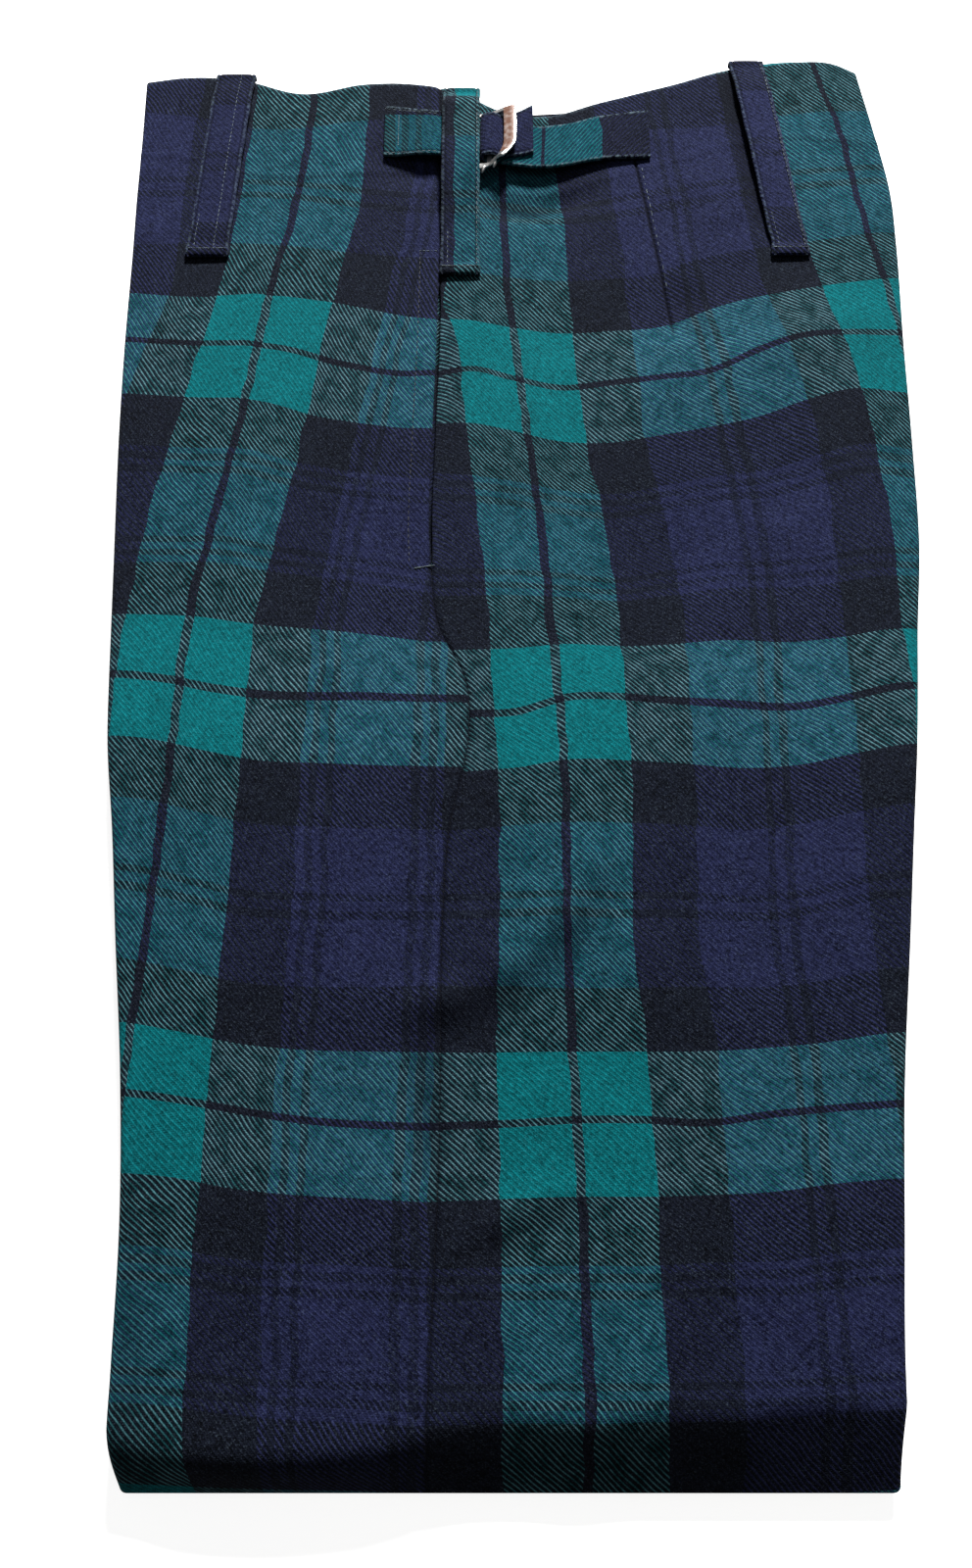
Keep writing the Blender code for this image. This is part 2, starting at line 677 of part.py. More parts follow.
def adjuster_chape(material):
    """The short front strap, which passes under the side belt loop and holds the slide by its back bar."""
    width = BACK_STRAP[-1].width
    turn = turn_round_bar(SLIDE_BACK_END + SLIDE_BAR / 2, 0.4, (90, 60, 30, 0, -30, -60, -90), width)
    top = turn[0].middle
    lead = Cut((top[0] - 5.0, top[1] + 1.2, top[2] - 0.2), (0, 1, 0), width + 0.8, STRAP_CLOTH)
    bottom = turn[-1].middle
    end = Cut((bottom[0] - 5.0, bottom[1], bottom[2]), (0, 1, 0), width, STRAP_CLOTH)
    return ribbon("adjuster_chape", strap_cuts(CHAPE_STRAP) + [lead] + turn + [end], material)


def build():
    for thing in list(bpy.data.objects):
        bpy.data.objects.remove(thing, do_unlink=True)
    front_cloth = new_material("front_tartan", DARK_TEAL, 0.85)
    back_cloth = new_material("back_tartan", NAVY, 0.85)
    hidden_cloth = new_material("hidden_layers", NEAR_BLACK, 0.9)
    strap_cloth = new_material("strap_tartan", NAVY, 0.85)
    metal = new_material("polished_steel", STEEL, 0.25, 1.0)
    panel("left_front", left_rows(), True, False, (10,), front_cloth)
    panel("left_back", left_rows(), False, True, (7, 7), back_cloth)
    panel("right_front", right_rows(), True, False, (4,), front_cloth)
    panel("right_back", right_rows(), False, False, (5,), back_cloth)
    folded_layers(hidden_cloth)
    for loop in LOOPS:
        belt_loop(loop, strap_cloth)
    adjuster_chape(strap_cloth)
    adjuster_strap(strap_cloth)
    slide_buckle(metal)


build()
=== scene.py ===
"""Tartan trews for a child, lying folded on a pale surface: the cloth, stitching, slide, light and camera.

+X runs from the front edge of the trews to the back edge, +Y from the knee fold to the waist, and +Z up.
Sizes are in millimetres unless a comment says otherwise, and the meshes are made in metres.
"""

import math
from collections import namedtuple
from functools import partial

import bpy
import numpy as np
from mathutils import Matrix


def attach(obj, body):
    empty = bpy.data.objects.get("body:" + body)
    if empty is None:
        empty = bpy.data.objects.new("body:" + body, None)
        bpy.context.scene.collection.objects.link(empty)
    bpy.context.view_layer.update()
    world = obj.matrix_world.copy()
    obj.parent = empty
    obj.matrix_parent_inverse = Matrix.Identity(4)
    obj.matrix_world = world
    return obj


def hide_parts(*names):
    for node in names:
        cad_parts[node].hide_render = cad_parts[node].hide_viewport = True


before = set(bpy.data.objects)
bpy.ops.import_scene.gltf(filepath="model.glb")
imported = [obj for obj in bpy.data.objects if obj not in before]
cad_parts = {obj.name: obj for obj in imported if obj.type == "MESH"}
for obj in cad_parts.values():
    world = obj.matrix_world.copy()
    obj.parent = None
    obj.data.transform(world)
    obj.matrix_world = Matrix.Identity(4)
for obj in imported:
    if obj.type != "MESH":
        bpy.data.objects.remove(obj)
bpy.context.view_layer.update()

MILLIMETRE = 0.001

# Camera, at the photograph's viewing angle
CAMERA_PLACE = (-10.2, -219.5, 437.3)
CAMERA_TILT = 19.9
CAMERA_FOCAL_LENGTH = 29.025
CAMERA_SENSOR = 36.0

# Cloth
CLOTH = 1.3
FACED_CLOTH = 2.2
LAYER_GAP = 1.1
SEAM_GAP = 0.3
SEAM_OVERLAP = 0.04
SEAM_DIP = 0.9
SEAM_DIP_WIDTH = 2.4

# Fold and edges, as in the solids
FOLD_END = -290.8
FOLD_REACH_ABOVE = 26.0
FOLD_TIP_HEIGHT = 6.2
BEND_PLACES = (-125, -112, -100, -60, -42, -26, 0, 20, 42, 60, 84, 112)
BEND_BEGINS = (0.25, 0.36, 0.42, 0.44, 0.38, 0.24, 0.12, 0.18, 0.07, 0.10, 0.0, 0.04)
BEND_POWERS = (1.5, 1.7, 1.9, 1.9, 1.6, 1.3, 1.15, 1.15, 1.1, 1.1, 1.03, 1.03)
FOLD_REACH_BELOW = 12.0
EDGE_ROLL = 2.3
EDGE_TUCK = 1.6
EDGE_MEET_GAP = 0.4
ROLL_ROOM = 0.35
HEM_LINE = -24.0
WAIST_LINE = 280.0
WAIST_WAVE_FROM = 130.0
LOWER_LEG_INSET = 2.5
LOWER_LEG_INSET_REACH = 120.0
RIGHT_WAIST_INSET = 2.0
RIGHT_WAIST_INSET_FROM = 200.0
FACING_DEPTH = 44.0
FACING_FADE = 12.0
FACING_RIDGE = 0.35
FACING_RIDGE_ABOVE = 1.6
FACING_RIDGE_WIDTH = 1.5
WAIST_EDGE_DROP = 0.9
WAIST_EDGE_WIDTH = 2.2
WAIST_FRAY = (0.3, 2.4)

# Pocket mouth
POCKET_TOP = 152.0
POCKET_FOOT = 22.0
POCKET_GAP = 1.2
POCKET_LIFT = 1.0
POCKET_SINK = 0.7
POCKET_EDGE_WIDTH = 14.0
POCKET_FADE = (-6, 14)
POCKET_DIP_LEFT = 0.4
POCKET_STITCH_TOP = 175.5
POCKET_STITCH_INSET = 8.5
DART_STITCHES_ASIDE = 1.1
DART_STITCHES = (222.0, 158.0)
BAR_TACK = ((-36.9, 20.3), (-34.6, 20.7), (-32.2, 21.2), (-29.9, 21.6))

# Stitches, in millimetres, with their unevenness as a share
STITCH_SIZES = ("Pitch", "Stitch Length", "Thickness", "Unevenness")
Stitch = namedtuple("Stitch", "pitch length thickness unevenness")
EDGE_STITCH = Stitch(2.3, 1.5, 0.34, 0.4)
TACK_STITCH = Stitch(1.1, 1.3, 0.36, 0.45)
TOPSTITCH = Stitch(2.6, 1.9, 0.4, 0.25)
POCKET_TOP_STITCH = Stitch(1.5, 1.2, 0.34, 0.4)
BAR_TACK_STITCH = Stitch(0.5, 0.9, 0.5, 0.3)
DART_STITCH = Stitch(4.3, 2.0, 0.26, 0.6)

# Mesh spacing
WAIST_ROW_DROPS = (0, 0.4, 1.0, 1.8, 3.0)
ROW_STEP = 2.0
UNDER_STEP = 5.0
FOLD_STEP_DEGREES = 6.0
ROLL_TURNS = (0, 20, 40, 60, 80, 100, 120, 140, 160, 180)
NEAR_SEAM = (0.0, 0.3, 0.7, 1.2, 1.9, 2.8, 4.0, 5.4)
NEAR_DART = (-2.6, -1.5, -0.8, -0.35, 0.0, 0.35, 0.8, 1.5, 2.6)
COLUMNS_BEFORE_DART = 40
COLUMNS_AFTER_DART = 44

Section = namedtuple("Section", "along front seam back height")
SECTIONS = (
    Section(-290.8, -121.0, -28.0, 115.2, 20.0),
    Section(-278, -122.9, -28.2, 115.4, 20.0),
    Section(-257, -123.7, -27.4, 116.6, 20.0),
    Section(-215, -125.1, -25.7, 120.9, 20.2),
    Section(-170, -129.1, -25.0, 126.0, 20.4),
    Section(-120, -135.8, -25.0, 133.6, 20.4),
    Section(-85, -140.4, -23.0, 138.9, 20.0),
    Section(-50, -145.8, -16.5, 144.4, 19.2),
    Section(-28, -148.0, -17.5, 147.6, 17.6),
    Section(-5, -150.2, -27.6, 151.0, 15.2),
    Section(30, -153.3, -31.2, 156.6, 12.4),
    Section(80, -157.0, -30.9, 160.1, 10.8),
    Section(128, -159.5, -29.8, 162.4, 9.8),
    Section(180, -161.1, -29.6, 165.4, 8.8),
    Section(207, -162.2, -29.8, 166.2, 8.0),
    Section(247, -163.3, -30.8, 162.6, 6.8),
    Section(280, -164.5, -31.0, 158.4, 6.2),
)

WaistPoint = namedtuple("WaistPoint", "across along")
WAIST_EDGE = (
    WaistPoint(-164.5, 276.0),
    WaistPoint(-146, 278.5),
    WaistPoint(-120, 276.5),
    WaistPoint(-92, 268.5),
    WaistPoint(-66, 274.0),
    WaistPoint(-48, 274.5),
    WaistPoint(-22, 269.0),
    WaistPoint(-4, 258.0),
    WaistPoint(14, 254.5),
    WaistPoint(40, 263.0),
    WaistPoint(76, 274.5),
    WaistPoint(103, 284.0),
    WaistPoint(130, 287.8),
    WaistPoint(150, 286.5),
    WaistPoint(158.4, 281.5),
)

FACING_EDGE = (
    WaistPoint(-165, 230),
    WaistPoint(-140, 228),
    WaistPoint(-117, 219.6),
    WaistPoint(-35, 219.3),
    WaistPoint(14, 207),
    WaistPoint(40, 215),
    WaistPoint(76, 227),
    WaistPoint(103, 237),
    WaistPoint(130, 240.5),
    WaistPoint(158, 237),
)

# Soft folds of the upper side, from one end to the other. A rise below nought is a trough
Fold = namedtuple("Fold", "across_a along_a across_b along_b half_width rise")
MAIN_FOLDS = (
    Fold(-98, 108, -118, -20, 9, 1.6),
    Fold(-78, 120, -96, -10, 9, -1.0),
    Fold(30, 92, 150, 140, 17, 1.8),
    Fold(20, 128, 128, 178, 14, -1.2),
    Fold(60, -60, 118, 60, 20, 1.4),
    Fold(-14, -40, -16, -265, 16, -2.4),
    Fold(18, -150, 66, -60, 16, 1.2),
    Fold(-60, -80, -84, -240, 24, 1.2),
    Fold(60, -120, 92, -250, 26, 1.3),
    Fold(-70, 30, -52, 130, 20, 1.0),
)
SMALL_CREASES = (
    Fold(-104, 190, -112, 60, 4.0, 0.5),
    Fold(-97, 196, -101, 120, 3.0, -0.35),
    Fold(-116, 70, -124, -60, 4.5, 0.45),
    Fold(-84, 210, -60, 232, 5.0, 0.4),
    Fold(92, 118, 150, 150, 5.0, 0.6),
    Fold(80, 104, 138, 120, 4.5, -0.5),
    Fold(110, -96, 134, -116, 4.0, 0.5),
    Fold(104, -104, 130, -132, 4.0, -0.4),
    Fold(-22, -45, -6, -58, 5.0, -0.7),
    Fold(-12, -40, -4, -84, 5.0, 0.6),
    Fold(40, 196, 96, 226, 8.0, 0.5),
    Fold(70, 180, 128, 196, 7.0, -0.4),
    Fold(-140, 40, -128, -70, 7.0, -0.5),
    Fold(-60, -10, -44, -120, 10.0, 0.5),
    Fold(66, 20, 40, -70, 9.0, -0.5),
    Fold(-34, -160, -33, -206, 6.0, -1.2),
    Fold(-44, -149, -18, -142, 7.0, 1.6),
    Fold(-32, -149, 2, -132, 8.0, 2.5),
    Fold(-8, -138, 22, -111, 8.0, 2.5),
    Fold(14, -123, 28, -90, 8.0, 2.0),
    Fold(-20, -219, 19, -202, 5.5, 1.2),
    Fold(-16, -228, 22, -210, 5.5, -0.6),
    Fold(-16, -112, -14, -134, 8.0, 1.2),
    Fold(44, -112, 48, -158, 12.0, 1.1),
    Fold(68, 128, 78, 158, 9.0, -1.3),
    Fold(48, -72, 66, -84, 9.0, -0.9),
    Fold(98, 40, 118, 70, 10.0, -0.9),
    Fold(106, -182, 134, -174, 7.0, -0.9),
    Fold(-92, -10, -60, -52, 12.0, -0.9),
    Fold(-126, -132, -104, -138, 7.0, -0.8),
    Fold(-122, -170, -113, -284, 9.0, -2.2),
    Fold(-130, -40, -128, -150, 8.0, -1.1),
    Fold(103, 282, 114, 176, 5.0, -1.3),
    Fold(-114, 268, -119, 182, 3.0, -0.7),
    Fold(-16, 210, 40, 222, 9.0, -3.0),
    Fold(-58, 226, -34, 221, 7.0, -1.6),
)

# Painted shade in creases, under the strap, beside the back loop and along the front edge near the fold:
# where it lies, and how much darker it makes the cloth, from 0 to 1
PAINTED_SHADOW_FOLDS = (
    Fold(-29, -150, -28, -204, 6.0, 0.50),
    Fold(-36, -154, 2, -143, 7.0, 0.45),
    Fold(-8, -148, 26, -116, 7.0, 0.40),
    Fold(20, -122, 34, -98, 6.0, 0.25),
    Fold(-18, -224, 20, -206, 5.0, 0.25),
    Fold(71, 160, 81, 124, 6.0, 0.30),
    Fold(-14, 213, 22, 214, 4.5, 0.65),
    Fold(-120, -205, -117, -300, 9.0, 0.35),
    Fold(97, 286, 110, 180, 4.5, 0.60),
)
FOLD_FADE_IN = (-0.12, 0.3)
FOLD_FADE_OUT = (0.7, 1.12)
CROWN = 1.8
CROWN_LESS_AT_WAIST = 0.6
CROWN_FLATTENS = (120, 250)
Unevenness = namedtuple("Unevenness", "rise wave turn")
UNEVEN_CLOTH = (Unevenness(0.28, 46.0, 0.7), Unevenness(0.10, 15.0, 2.1))

Dart = namedtuple("Dart", "across along")
DART_TOP = Dart(55.5, 236.0)
DART_POINT = Dart(67.4, 130.7)
DART_DEPTH = 0.9
DART_GROOVE_WIDTH = 0.6
DART_GROOVE_BEGINS = (-4, 14)
DART_SHADE_BEGINS = (-2, 10)
DART_TOP_FADE = 6.0

# Painted shade where the cloth turns in at the seam, facing and dart: how much darker it shows, and over what
# width
Shade = namedtuple("Shade", "amount width")
SEAM_SHADE = Shade(0.75, 0.8)
FACING_SHADE = Shade(0.45, 0.8)
FACING_SHADE_LEAST = 0.35
FACING_SHADE_FULL = (110, 124)
DART_SHADE = Shade(1.1, 0.75)

# The check. UNIT is what one unit of the sett measures on flat cloth
UNIT = 1.41
THREADS_PER_UNIT = 2.75
HALF_SETT = 104.0
SETT = (
    ("blue", 1),
    ("midnight", 2),
    ("blue", 17),
    ("black", 16),
    ("green", 16),
    ("black", 2),
    ("green", 16),
    ("black", 16),
    ("blue", 2),
    ("midnight", 2),
    ("blue", 2),
    ("midnight", 2),
    ("blue", 10),
)
FRONT_WARP_SHIFT = 53.0
BACK_WARP_SHIFT = -53.0
WEFT_SHIFT = 53.0

# Where lines of the check lie on the upper side. A line across the trews is given at stations from front
# to back, and a line along them at stations from the knee fold to the waist
CheckLine = namedtuple("CheckLine", "unit places")
FRONT_STATIONS = (-165, -130, -110, -90, -70, -50, -32)
FRONT_CROSS_LINES = (
    CheckLine(-187, (-279, -279.5, -280, -281, -282, -282.5, -283)),
    CheckLine(-123, (-197, -198.5, -200, -203.5, -205.5, -206.5, -207.5)),
    CheckLine(-106, (-173, -174, -176.5, -180, -183, -184.5, -185)),
    CheckLine(-89, (-150, -151.5, -155, -159, -161, -161.5, -161.5)),
    CheckLine(-17, (-50, -51.5, -56.5, -60.5, -61.5, -62.5, -62.5)),
    CheckLine(0, (-23.5, -26.5, -31, -34, -34.5, -35, -35.5)),
    CheckLine(17, (0.5, -0.5, -3, -5.5, -7.5, -10, -12.5)),
    CheckLine(85, (104.5, 101, 100, 95.5, 89, 85.5, 84.5)),
    CheckLine(102, (131, 127.5, 127, 123.5, 116.5, 111.5, 111)),
    CheckLine(119, (155, 151.5, 152.5, 150.5, 147, 142, 138.5)),
    CheckLine(135, (181, 181, 180.5, 179, 175.5, 173.5, 172.5)),
    CheckLine(155, (213, 212, 211, 209.5, 206.5, 203.5, 202)),
    CheckLine(175, (257, 251, 246, 246.5, 250, 252, 252)),
    CheckLine(199, (302, 296, 291, 291, 295, 297, 297)),
)
BACK_STATIONS = (-30, -15, 0, 20, 40, 60, 80, 100, 120, 140, 158)
BACK_CROSS_LINES = (
    CheckLine(-187, (-283, -283, -283, -283, -283, -283, -282.5, -282, -281, -280, -280)),
    CheckLine(-123, (-207.5, -207, -206.5, -206, -206, -205.5, -204.5, -202, -200.5, -200, -200)),
    CheckLine(-106, (-185, -184.5, -184, -183, -183, -184, -181.5, -179.5, -178, -177, -176.5)),
    CheckLine(-89, (-161.5, -161.5, -161.5, -161.5, -161.5, -161.5, -160.5, -158.5, -155.5, -154, -153.5)),
    CheckLine(-17, (-64.5, -64, -63, -60, -60.5, -62, -63.5, -62, -57.5, -53.5, -53)),
    CheckLine(0, (-41.5, -41.5, -41, -35, -35, -37, -38.5, -39, -35, -30, -29.5)),
    CheckLine(17, (-16.5, -16, -15.5, -13.5, -14.5, -13.5, -12.5, -13, -10.5, -6.5, -6)),
    CheckLine(85, (88, 87.5, 84, 79, 78.5, 82, 86, 91.5, 100, 105.5, 104)),
    CheckLine(102, (112, 114, 109.5, 104.5, 106.5, 108.5, 111.5, 121.5, 130, 133, 133.5)),
    CheckLine(119, (140.5, 138.5, 135, 132, 133.5, 135.5, 144, 150.5, 155, 159, 162)),
    CheckLine(155, (203, 201.5, 199, 197, 198.5, 203, 207.5, 212, 215.5, 218, 220)),
    CheckLine(175, (243, 240, 236, 234, 240, 245, 246, 249, 253, 256, 257)),
    CheckLine(199, (288, 285, 281, 280, 286, 291, 292, 296, 300, 303, 304)),
)
FRONT_ALONG_STATIONS = (-285, -200, -120, -40, 0, 40, 80, 120, 160, 200, 240, 275)
FRONT_LONG_LINES = (
    CheckLine(-17, (-147, -147, -147, -145.5, -145, -142.5, -136, -129, -121.5, -118, -115.5, -113.5)),
    CheckLine(0, (-128, -129, -124.5, -121.5, -120.5, -115.5, -109.5, -104.5, -99.5, -92.7, -89, -87.5)),
    CheckLine(17, (-100.5, -101, -98.5, -97.5, -96.5, -91, -84.5, -79, -72.5, -66, -63.5, -63)),
)
BACK_ALONG_STATIONS = (-285, -200, -160, -120, -80, -40, 0, 40, 80, 120, 160, 200, 240, 285)
BACK_LONG_LINES = (
    CheckLine(-17, (-4.2, -5, -6, -5, -5, -6.5, -9, -12.5, -17, -20.5, -26, -27, -28, -30)),
    CheckLine(0, (21, 19.5, 18, 17, 17.5, 16.5, 13.5, 11, 6.5, 2.5, -1.5, -2.6, -3.6, -5)),
    CheckLine(17, (45.5, 43.5, 42.5, 39.5, 41, 40.5, 39.5, 35.5, 29.5, 26.7, 24.9, 22.8, 19.5, 15)),
    CheckLine(89, (146, 144.5, 143, 142, 143, 144.5, 145, 146, 144.5, 139, 129.7, 124.4, 120.6, 116)),
    CheckLine(106, (170, 168.5, 167, 166, 167, 168.5, 169, 169, 167, 163, 157.8, 151.3, 148.1, 139)),
)
POCKET_STRETCH = 2.6
POCKET_STRETCH_WIDTH = 10.0
FOLD_END_ROWS = 15
FOLD_END_UNIT = 1.7

# Each loop's tartan has a painted light level of its own, lighter or darker for how the light falls on it
Loop = namedtuple("Loop", "name top foot foot_along width rise warp_shift first_unit shade stitch_inset")
LOOPS = (
    Loop("belt_loop_front", -123.2, -128.2, 171.5, 17.5, 1.6, 104.0, -35, 0.9, 6.2),
    Loop("belt_loop_side", -21.2, -21.2, 161.5, 16.6, 7.2, 37.6, -46, 1.05, 1.3),
    Loop("belt_loop_back", 108.0, 118.8, 172.5, 15.5, 1.8, 104.0, -35, 1.15, 1.6),
)
LOOP_TOP_DROP = 3.0
LOOP_TOP_TURN = ((3.6, 3.2), (3.7, 1.8), (2.9, 0.5), (1.6, -0.1))
LOOP_THICKNESS = 2.0
LOOP_FOOT_THICKNESS = 2.2
LOOP_FRAY = 0.4
# Painted shade over the top of each loop, where it turns over the waist edge towards the light
LOOP_TOP_PAINTED_SHADE = 0.55
LOOP_FOOT_LENGTH = 4.2
LOOP_FOOT_EXTRA_WIDTH = 0.9
LOOP_PRESSED = 1.3
LOOP_RISES = (0.0, 0.13)
LOOP_SINKS = (0.41, 0.86)
LOOP_TACK_INSET = 3.4
LOOP_FOOT_FOLD = (
    (-0.9, LOOP_PRESSED),
    (-0.45, LOOP_PRESSED),
    (0.05, 2.2),
    (0.4, LOOP_FOOT_THICKNESS),
    (0.75, LOOP_FOOT_THICKNESS - 0.3),
    (0.97, 1.3),
)
STRIP_UNIT = 1.64
STRIP_CROWN = 0.12
STRIP_CORNER = 1.0
STRIP_GROOVE = 0.3
STRIP_GROOVE_WIDTH = 0.45
# Painted shade in the stitched grooves beside a strip's edges
STRIP_GROOVE_SHADE = Shade(0.8, 0.35)
STRIP_WOBBLE = 0.12
STRIP_WOBBLE_WAVE = 3.1
STRIP_STEP = 0.8
STRIP_FRAY = (1.5, 0.9)
STRIP_RIM = 0.6
STRIP_RIM_LESS = 0.4
# Where the painted shade at a strip's start fades out, in millimetres along it
STRIP_PAINTED_SHADE_END = (3.5, 7.0)
LOOP_SHARES = (0, 0.05, 0.09, 0.13, 0.2, 0.27, 0.34, 0.41, 0.5, 0.6, 0.7, 0.8, 0.9)

StrapPoint = namedtuple("StrapPoint", "across along raised width")
BACK_STRAP = (
    StrapPoint(62.0, 241.5, 0.3, 27.0),
    StrapPoint(57.0, 240.9, 0.6, 26.5),
    StrapPoint(39.0, 237.3, 2.1, 24.5),
    StrapPoint(24.0, 232.2, 3.2, 23.4),
    StrapPoint(11.0, 229.9, 4.2, 23.2),
    StrapPoint(2.0, 231.6, 4.0, 23.2),
)
CHAPE_STRAP = (
    StrapPoint(-55.0, 243.2, 0.3, 28.6),
    StrapPoint(-50.0, 242.5, 0.7, 28.0),
    StrapPoint(-42.0, 240.2, 2.7, 26.4),
    StrapPoint(-34.0, 238.3, 4.2, 25.0),
)
STRAP_CLOTH = 1.5
STRAP_TRAVEL = (0.0, 48.2, 49.4, 76.0, 76.2, 110.0)
STRAP_UNITS = (22.6, 52.0, 54.0, 70.0, 96.0, 116.0)
CHAPE_FIRST_UNIT = 83.4
BAR_TURN_STRETCH = 1.3
BAR_TURN_INWARD = 0.4
STRAP_TURN = (-90, -120, -150, -180, -210, -240, -270)
CHAPE_TURN = (90, 60, 30, 0, -30, -60, -90)
CHAPE_LEAD = (-5.0, 1.2, -0.2)
CHAPE_LEAD_EXTRA_WIDTH = 0.8
CHAPE_END = 5.0
TAIL_ASIDE = 0.4
TAIL_RUN = ((0.3, 0.1), (0.7, 0.45), (1.0, 1.0))
TAIL_DROPS_FROM = 0.28
TAIL_END = 10.4
TAIL_RISE = 0.8
TAIL_LEAN = 5.0
TAIL_LEANS_FROM = 0.3
TAIL_EXTRA_WIDTH = 3.6
SLIDE_MIDDLE = 234.6
SLIDE_LENGTH = 22.3
SLIDE_HEIGHT = 28.0
SLIDE_LOW_END = SLIDE_MIDDLE - SLIDE_HEIGHT / 2
SLIDE_METAL = 1.2
SLIDE_RAIL = 1.8
SLIDE_FRONT_BAR = 5.2
SLIDE_BAR = 2.4
SLIDE_BAR_PITCH = 9.6
SLIDE_BACK_END = -19.5
SLIDE_BACK_RAISED = 10.8
SLIDE_FRONT_RAISED = 16.8
SLIDE_BOW = 0.5
SLIDE_FACE_RISE = 0.7
SLIDE_CORNER = 5.5
SLIDE_CORNER_FROM = 231.0
SLIDE_SWEEP = 3.0
SLIDE_RIM = 0.45
SLIDE_FACE_COLUMNS = (0.25, 0.5, 0.74, 1.0)
SLIDE_BEVEL = 0.35
SLIDE_BEVEL_FROM = 50
ROD_END_SHARE = 0.45
SLIDE_TEETH = (
    (((-5.9, 221.2, 14.8), (-6.4, 219.3, 14.3), (-7.0, 217.9, 13.3)), 1.0),
    (((-10.4, 219.4, 13.2), (-11.3, 217.6, 12.8), (-12.2, 216.2, 12.0)), 0.9),
)
SLIDE_FACE_START = -2.6
SLIDE_FACE_END = 2.2
SLIDE_FACE_ABOVE = 2.4

# Colours of the finished cloth, thread and metal, in linear light
NAVY = (0.0115, 0.0140, 0.0420)
MIDNIGHT = (0.0060, 0.0076, 0.0180)
NEAR_BLACK = (0.0050, 0.0065, 0.0120)
GREEN = (0.0015, 0.1000, 0.1130)
SEA_BLUE = (0.0015, 0.0720, 0.1150)
# Painted highlights on the crests of green floats where two colours cross
CREST_HIGHLIGHT = (0.1350, 0.2350, 0.2700)
BLUE_CREST_HIGHLIGHT = (0.0950, 0.2450, 0.2900)
# Painted reflection: the brown painted on the slide's front bar
BROWN_REFLECTION = (0.1150, 0.0380, 0.0140)
FIBRE_FUZZ = (0.0750, 0.1000, 0.1250)
# Painted shade: the dark that the cloth is blended towards in seams, creases and shadows
PAINTED_SHADE_COLOUR = (0.0020, 0.0024, 0.0060)
FRAYED_EDGE = (0.1100, 0.1550, 0.1800)
DARK_THREAD = (0.0052, 0.0070, 0.0130)
PALE_THREAD = (0.0900, 0.1250, 0.1400)
STEEL = (0.9000, 0.8800, 0.8500)
PALE_FLOOR = (0.9000, 0.8980, 0.8940)
FLOOR_BOUNCE = (0.2800, 0.2750, 0.2700)

# Twill. Each float passes over two threads, and a wale repeats after four
TWILL_REPEAT = 4.0
WALE_SWAY = 5.0
SWAY_SCALE = 0.035
WORN_SCALE = 0.09
FLOAT_END_ROUNDING = 0.5
FLOAT_SIDE_ROUNDING = 0.6
WEFT_LOWER = 0.8

# Twill where two colours cross: painted shade between its ridges, and painted highlights on the crests of the
# green ones
GREEN_FROM = 0.05
TROUGH = 0.06
BLUE_TROUGH = 0.26
RIDGE_ROUNDING = 2.2
RIDGE_SHADE = 0.95
GREEN_DIMMED = 0.42
WEFT_DIMMED_LESS = 0.2
BLEED_FROM = 0.06
CREST_HIGHLIGHT_SHARE = 0.85
BLUE_CREST_LESS = 0.22
WARP_CREST = 0.55
WEFT_CREST = 0.55
CREST_ROUNDING = 6.0

# Wool
FINE_UNEVENNESS = 2.6
FIBRE_UNEVENNESS = 2.3
BROAD_DYE = 0.6
GREEN_EVENER = 0.35
FIBRES_SHOW = 1.7
GREEN_FIBRES_LESS = 0.9
# How strongly the painted shade mark darkens the cloth
PAINTED_SHADE_STRENGTH = 0.85

# Light
KEY_LIGHT = ((330, 2350, 1680), 215.0, 420)
FILL_LIGHT = ((100, -100, 2400), 5.0, 1500)
SKY = (0.96, 0.98, 1.0)
SKY_STRENGTH = 0.09
FLOOR_GLOW = 0.9
FLOOR_HALF = 3000.0


def cubic_between(t, span, values, slopes):
    """The value a share t of the way along a span, from the values and slopes at its two ends."""
    rise = (2 * t**3 - 3 * t**2 + 1) * values[0] + (3 * t**2 - 2 * t**3) * values[1]
    lean = (t**3 - 2 * t**2 + t) * slopes[0] + (t**3 - t**2) * slopes[1]
    return rise + span * lean


def smooth_through(places, values):
    """A smooth function through values at places, which keeps the end values beyond both ends."""
    places = np.array(places, float)
    values = np.array(values, float)
    slopes = np.gradient(values, places)

    def value_at(place):
        place = np.clip(np.asarray(place, float), places[0], places[-1])
        i = np.clip(np.searchsorted(places, place, side="right") - 1, 0, len(places) - 2)
        span = places[i + 1] - places[i]
        t = (place - places[i]) / span
        return cubic_between(t, span, (values[i], values[i + 1]), (slopes[i], slopes[i + 1]))

    return value_at


def ease(value, start, end):
    """0 at start and 1 at end, level at both."""
    t = np.clip((np.asarray(value, float) - start) / (end - start), 0.0, 1.0)
    return t * t * (3 - 2 * t)


def bell(aside, width):
    """1 at nought, falling smoothly away on both sides."""
    return np.exp(-((aside / width) ** 2))


def unit_length(vectors):
    return vectors / np.linalg.norm(vectors, axis=-1, keepdims=True)


def travelled(points):
    """How far along a line each of its points lies."""
    return np.concatenate([[0.0], np.cumsum(np.linalg.norm(np.diff(points, axis=0), axis=1))])


def wander(x, y, wave, turn):
    """A soft uneven value between about -1 and 1, which changes over about one wave's length."""
    a = np.sin(x / wave * 2.1 + y / wave * 1.3 + turn)
    b = np.sin(x / wave * -1.7 + y / wave * 2.9 + turn * 2.3 + 1.1 * a)
    c = np.sin(x / wave * 4.3 + y / wave * -3.1 + turn * 1.7 + 0.8 * b)
    return (a + b + 0.6 * c) / 2.6


def column_of(table, places, values):
    """A smooth function through one column of a table, at the places in another."""
    return smooth_through([getattr(row, places) for row in table], [getattr(row, values) for row in table])


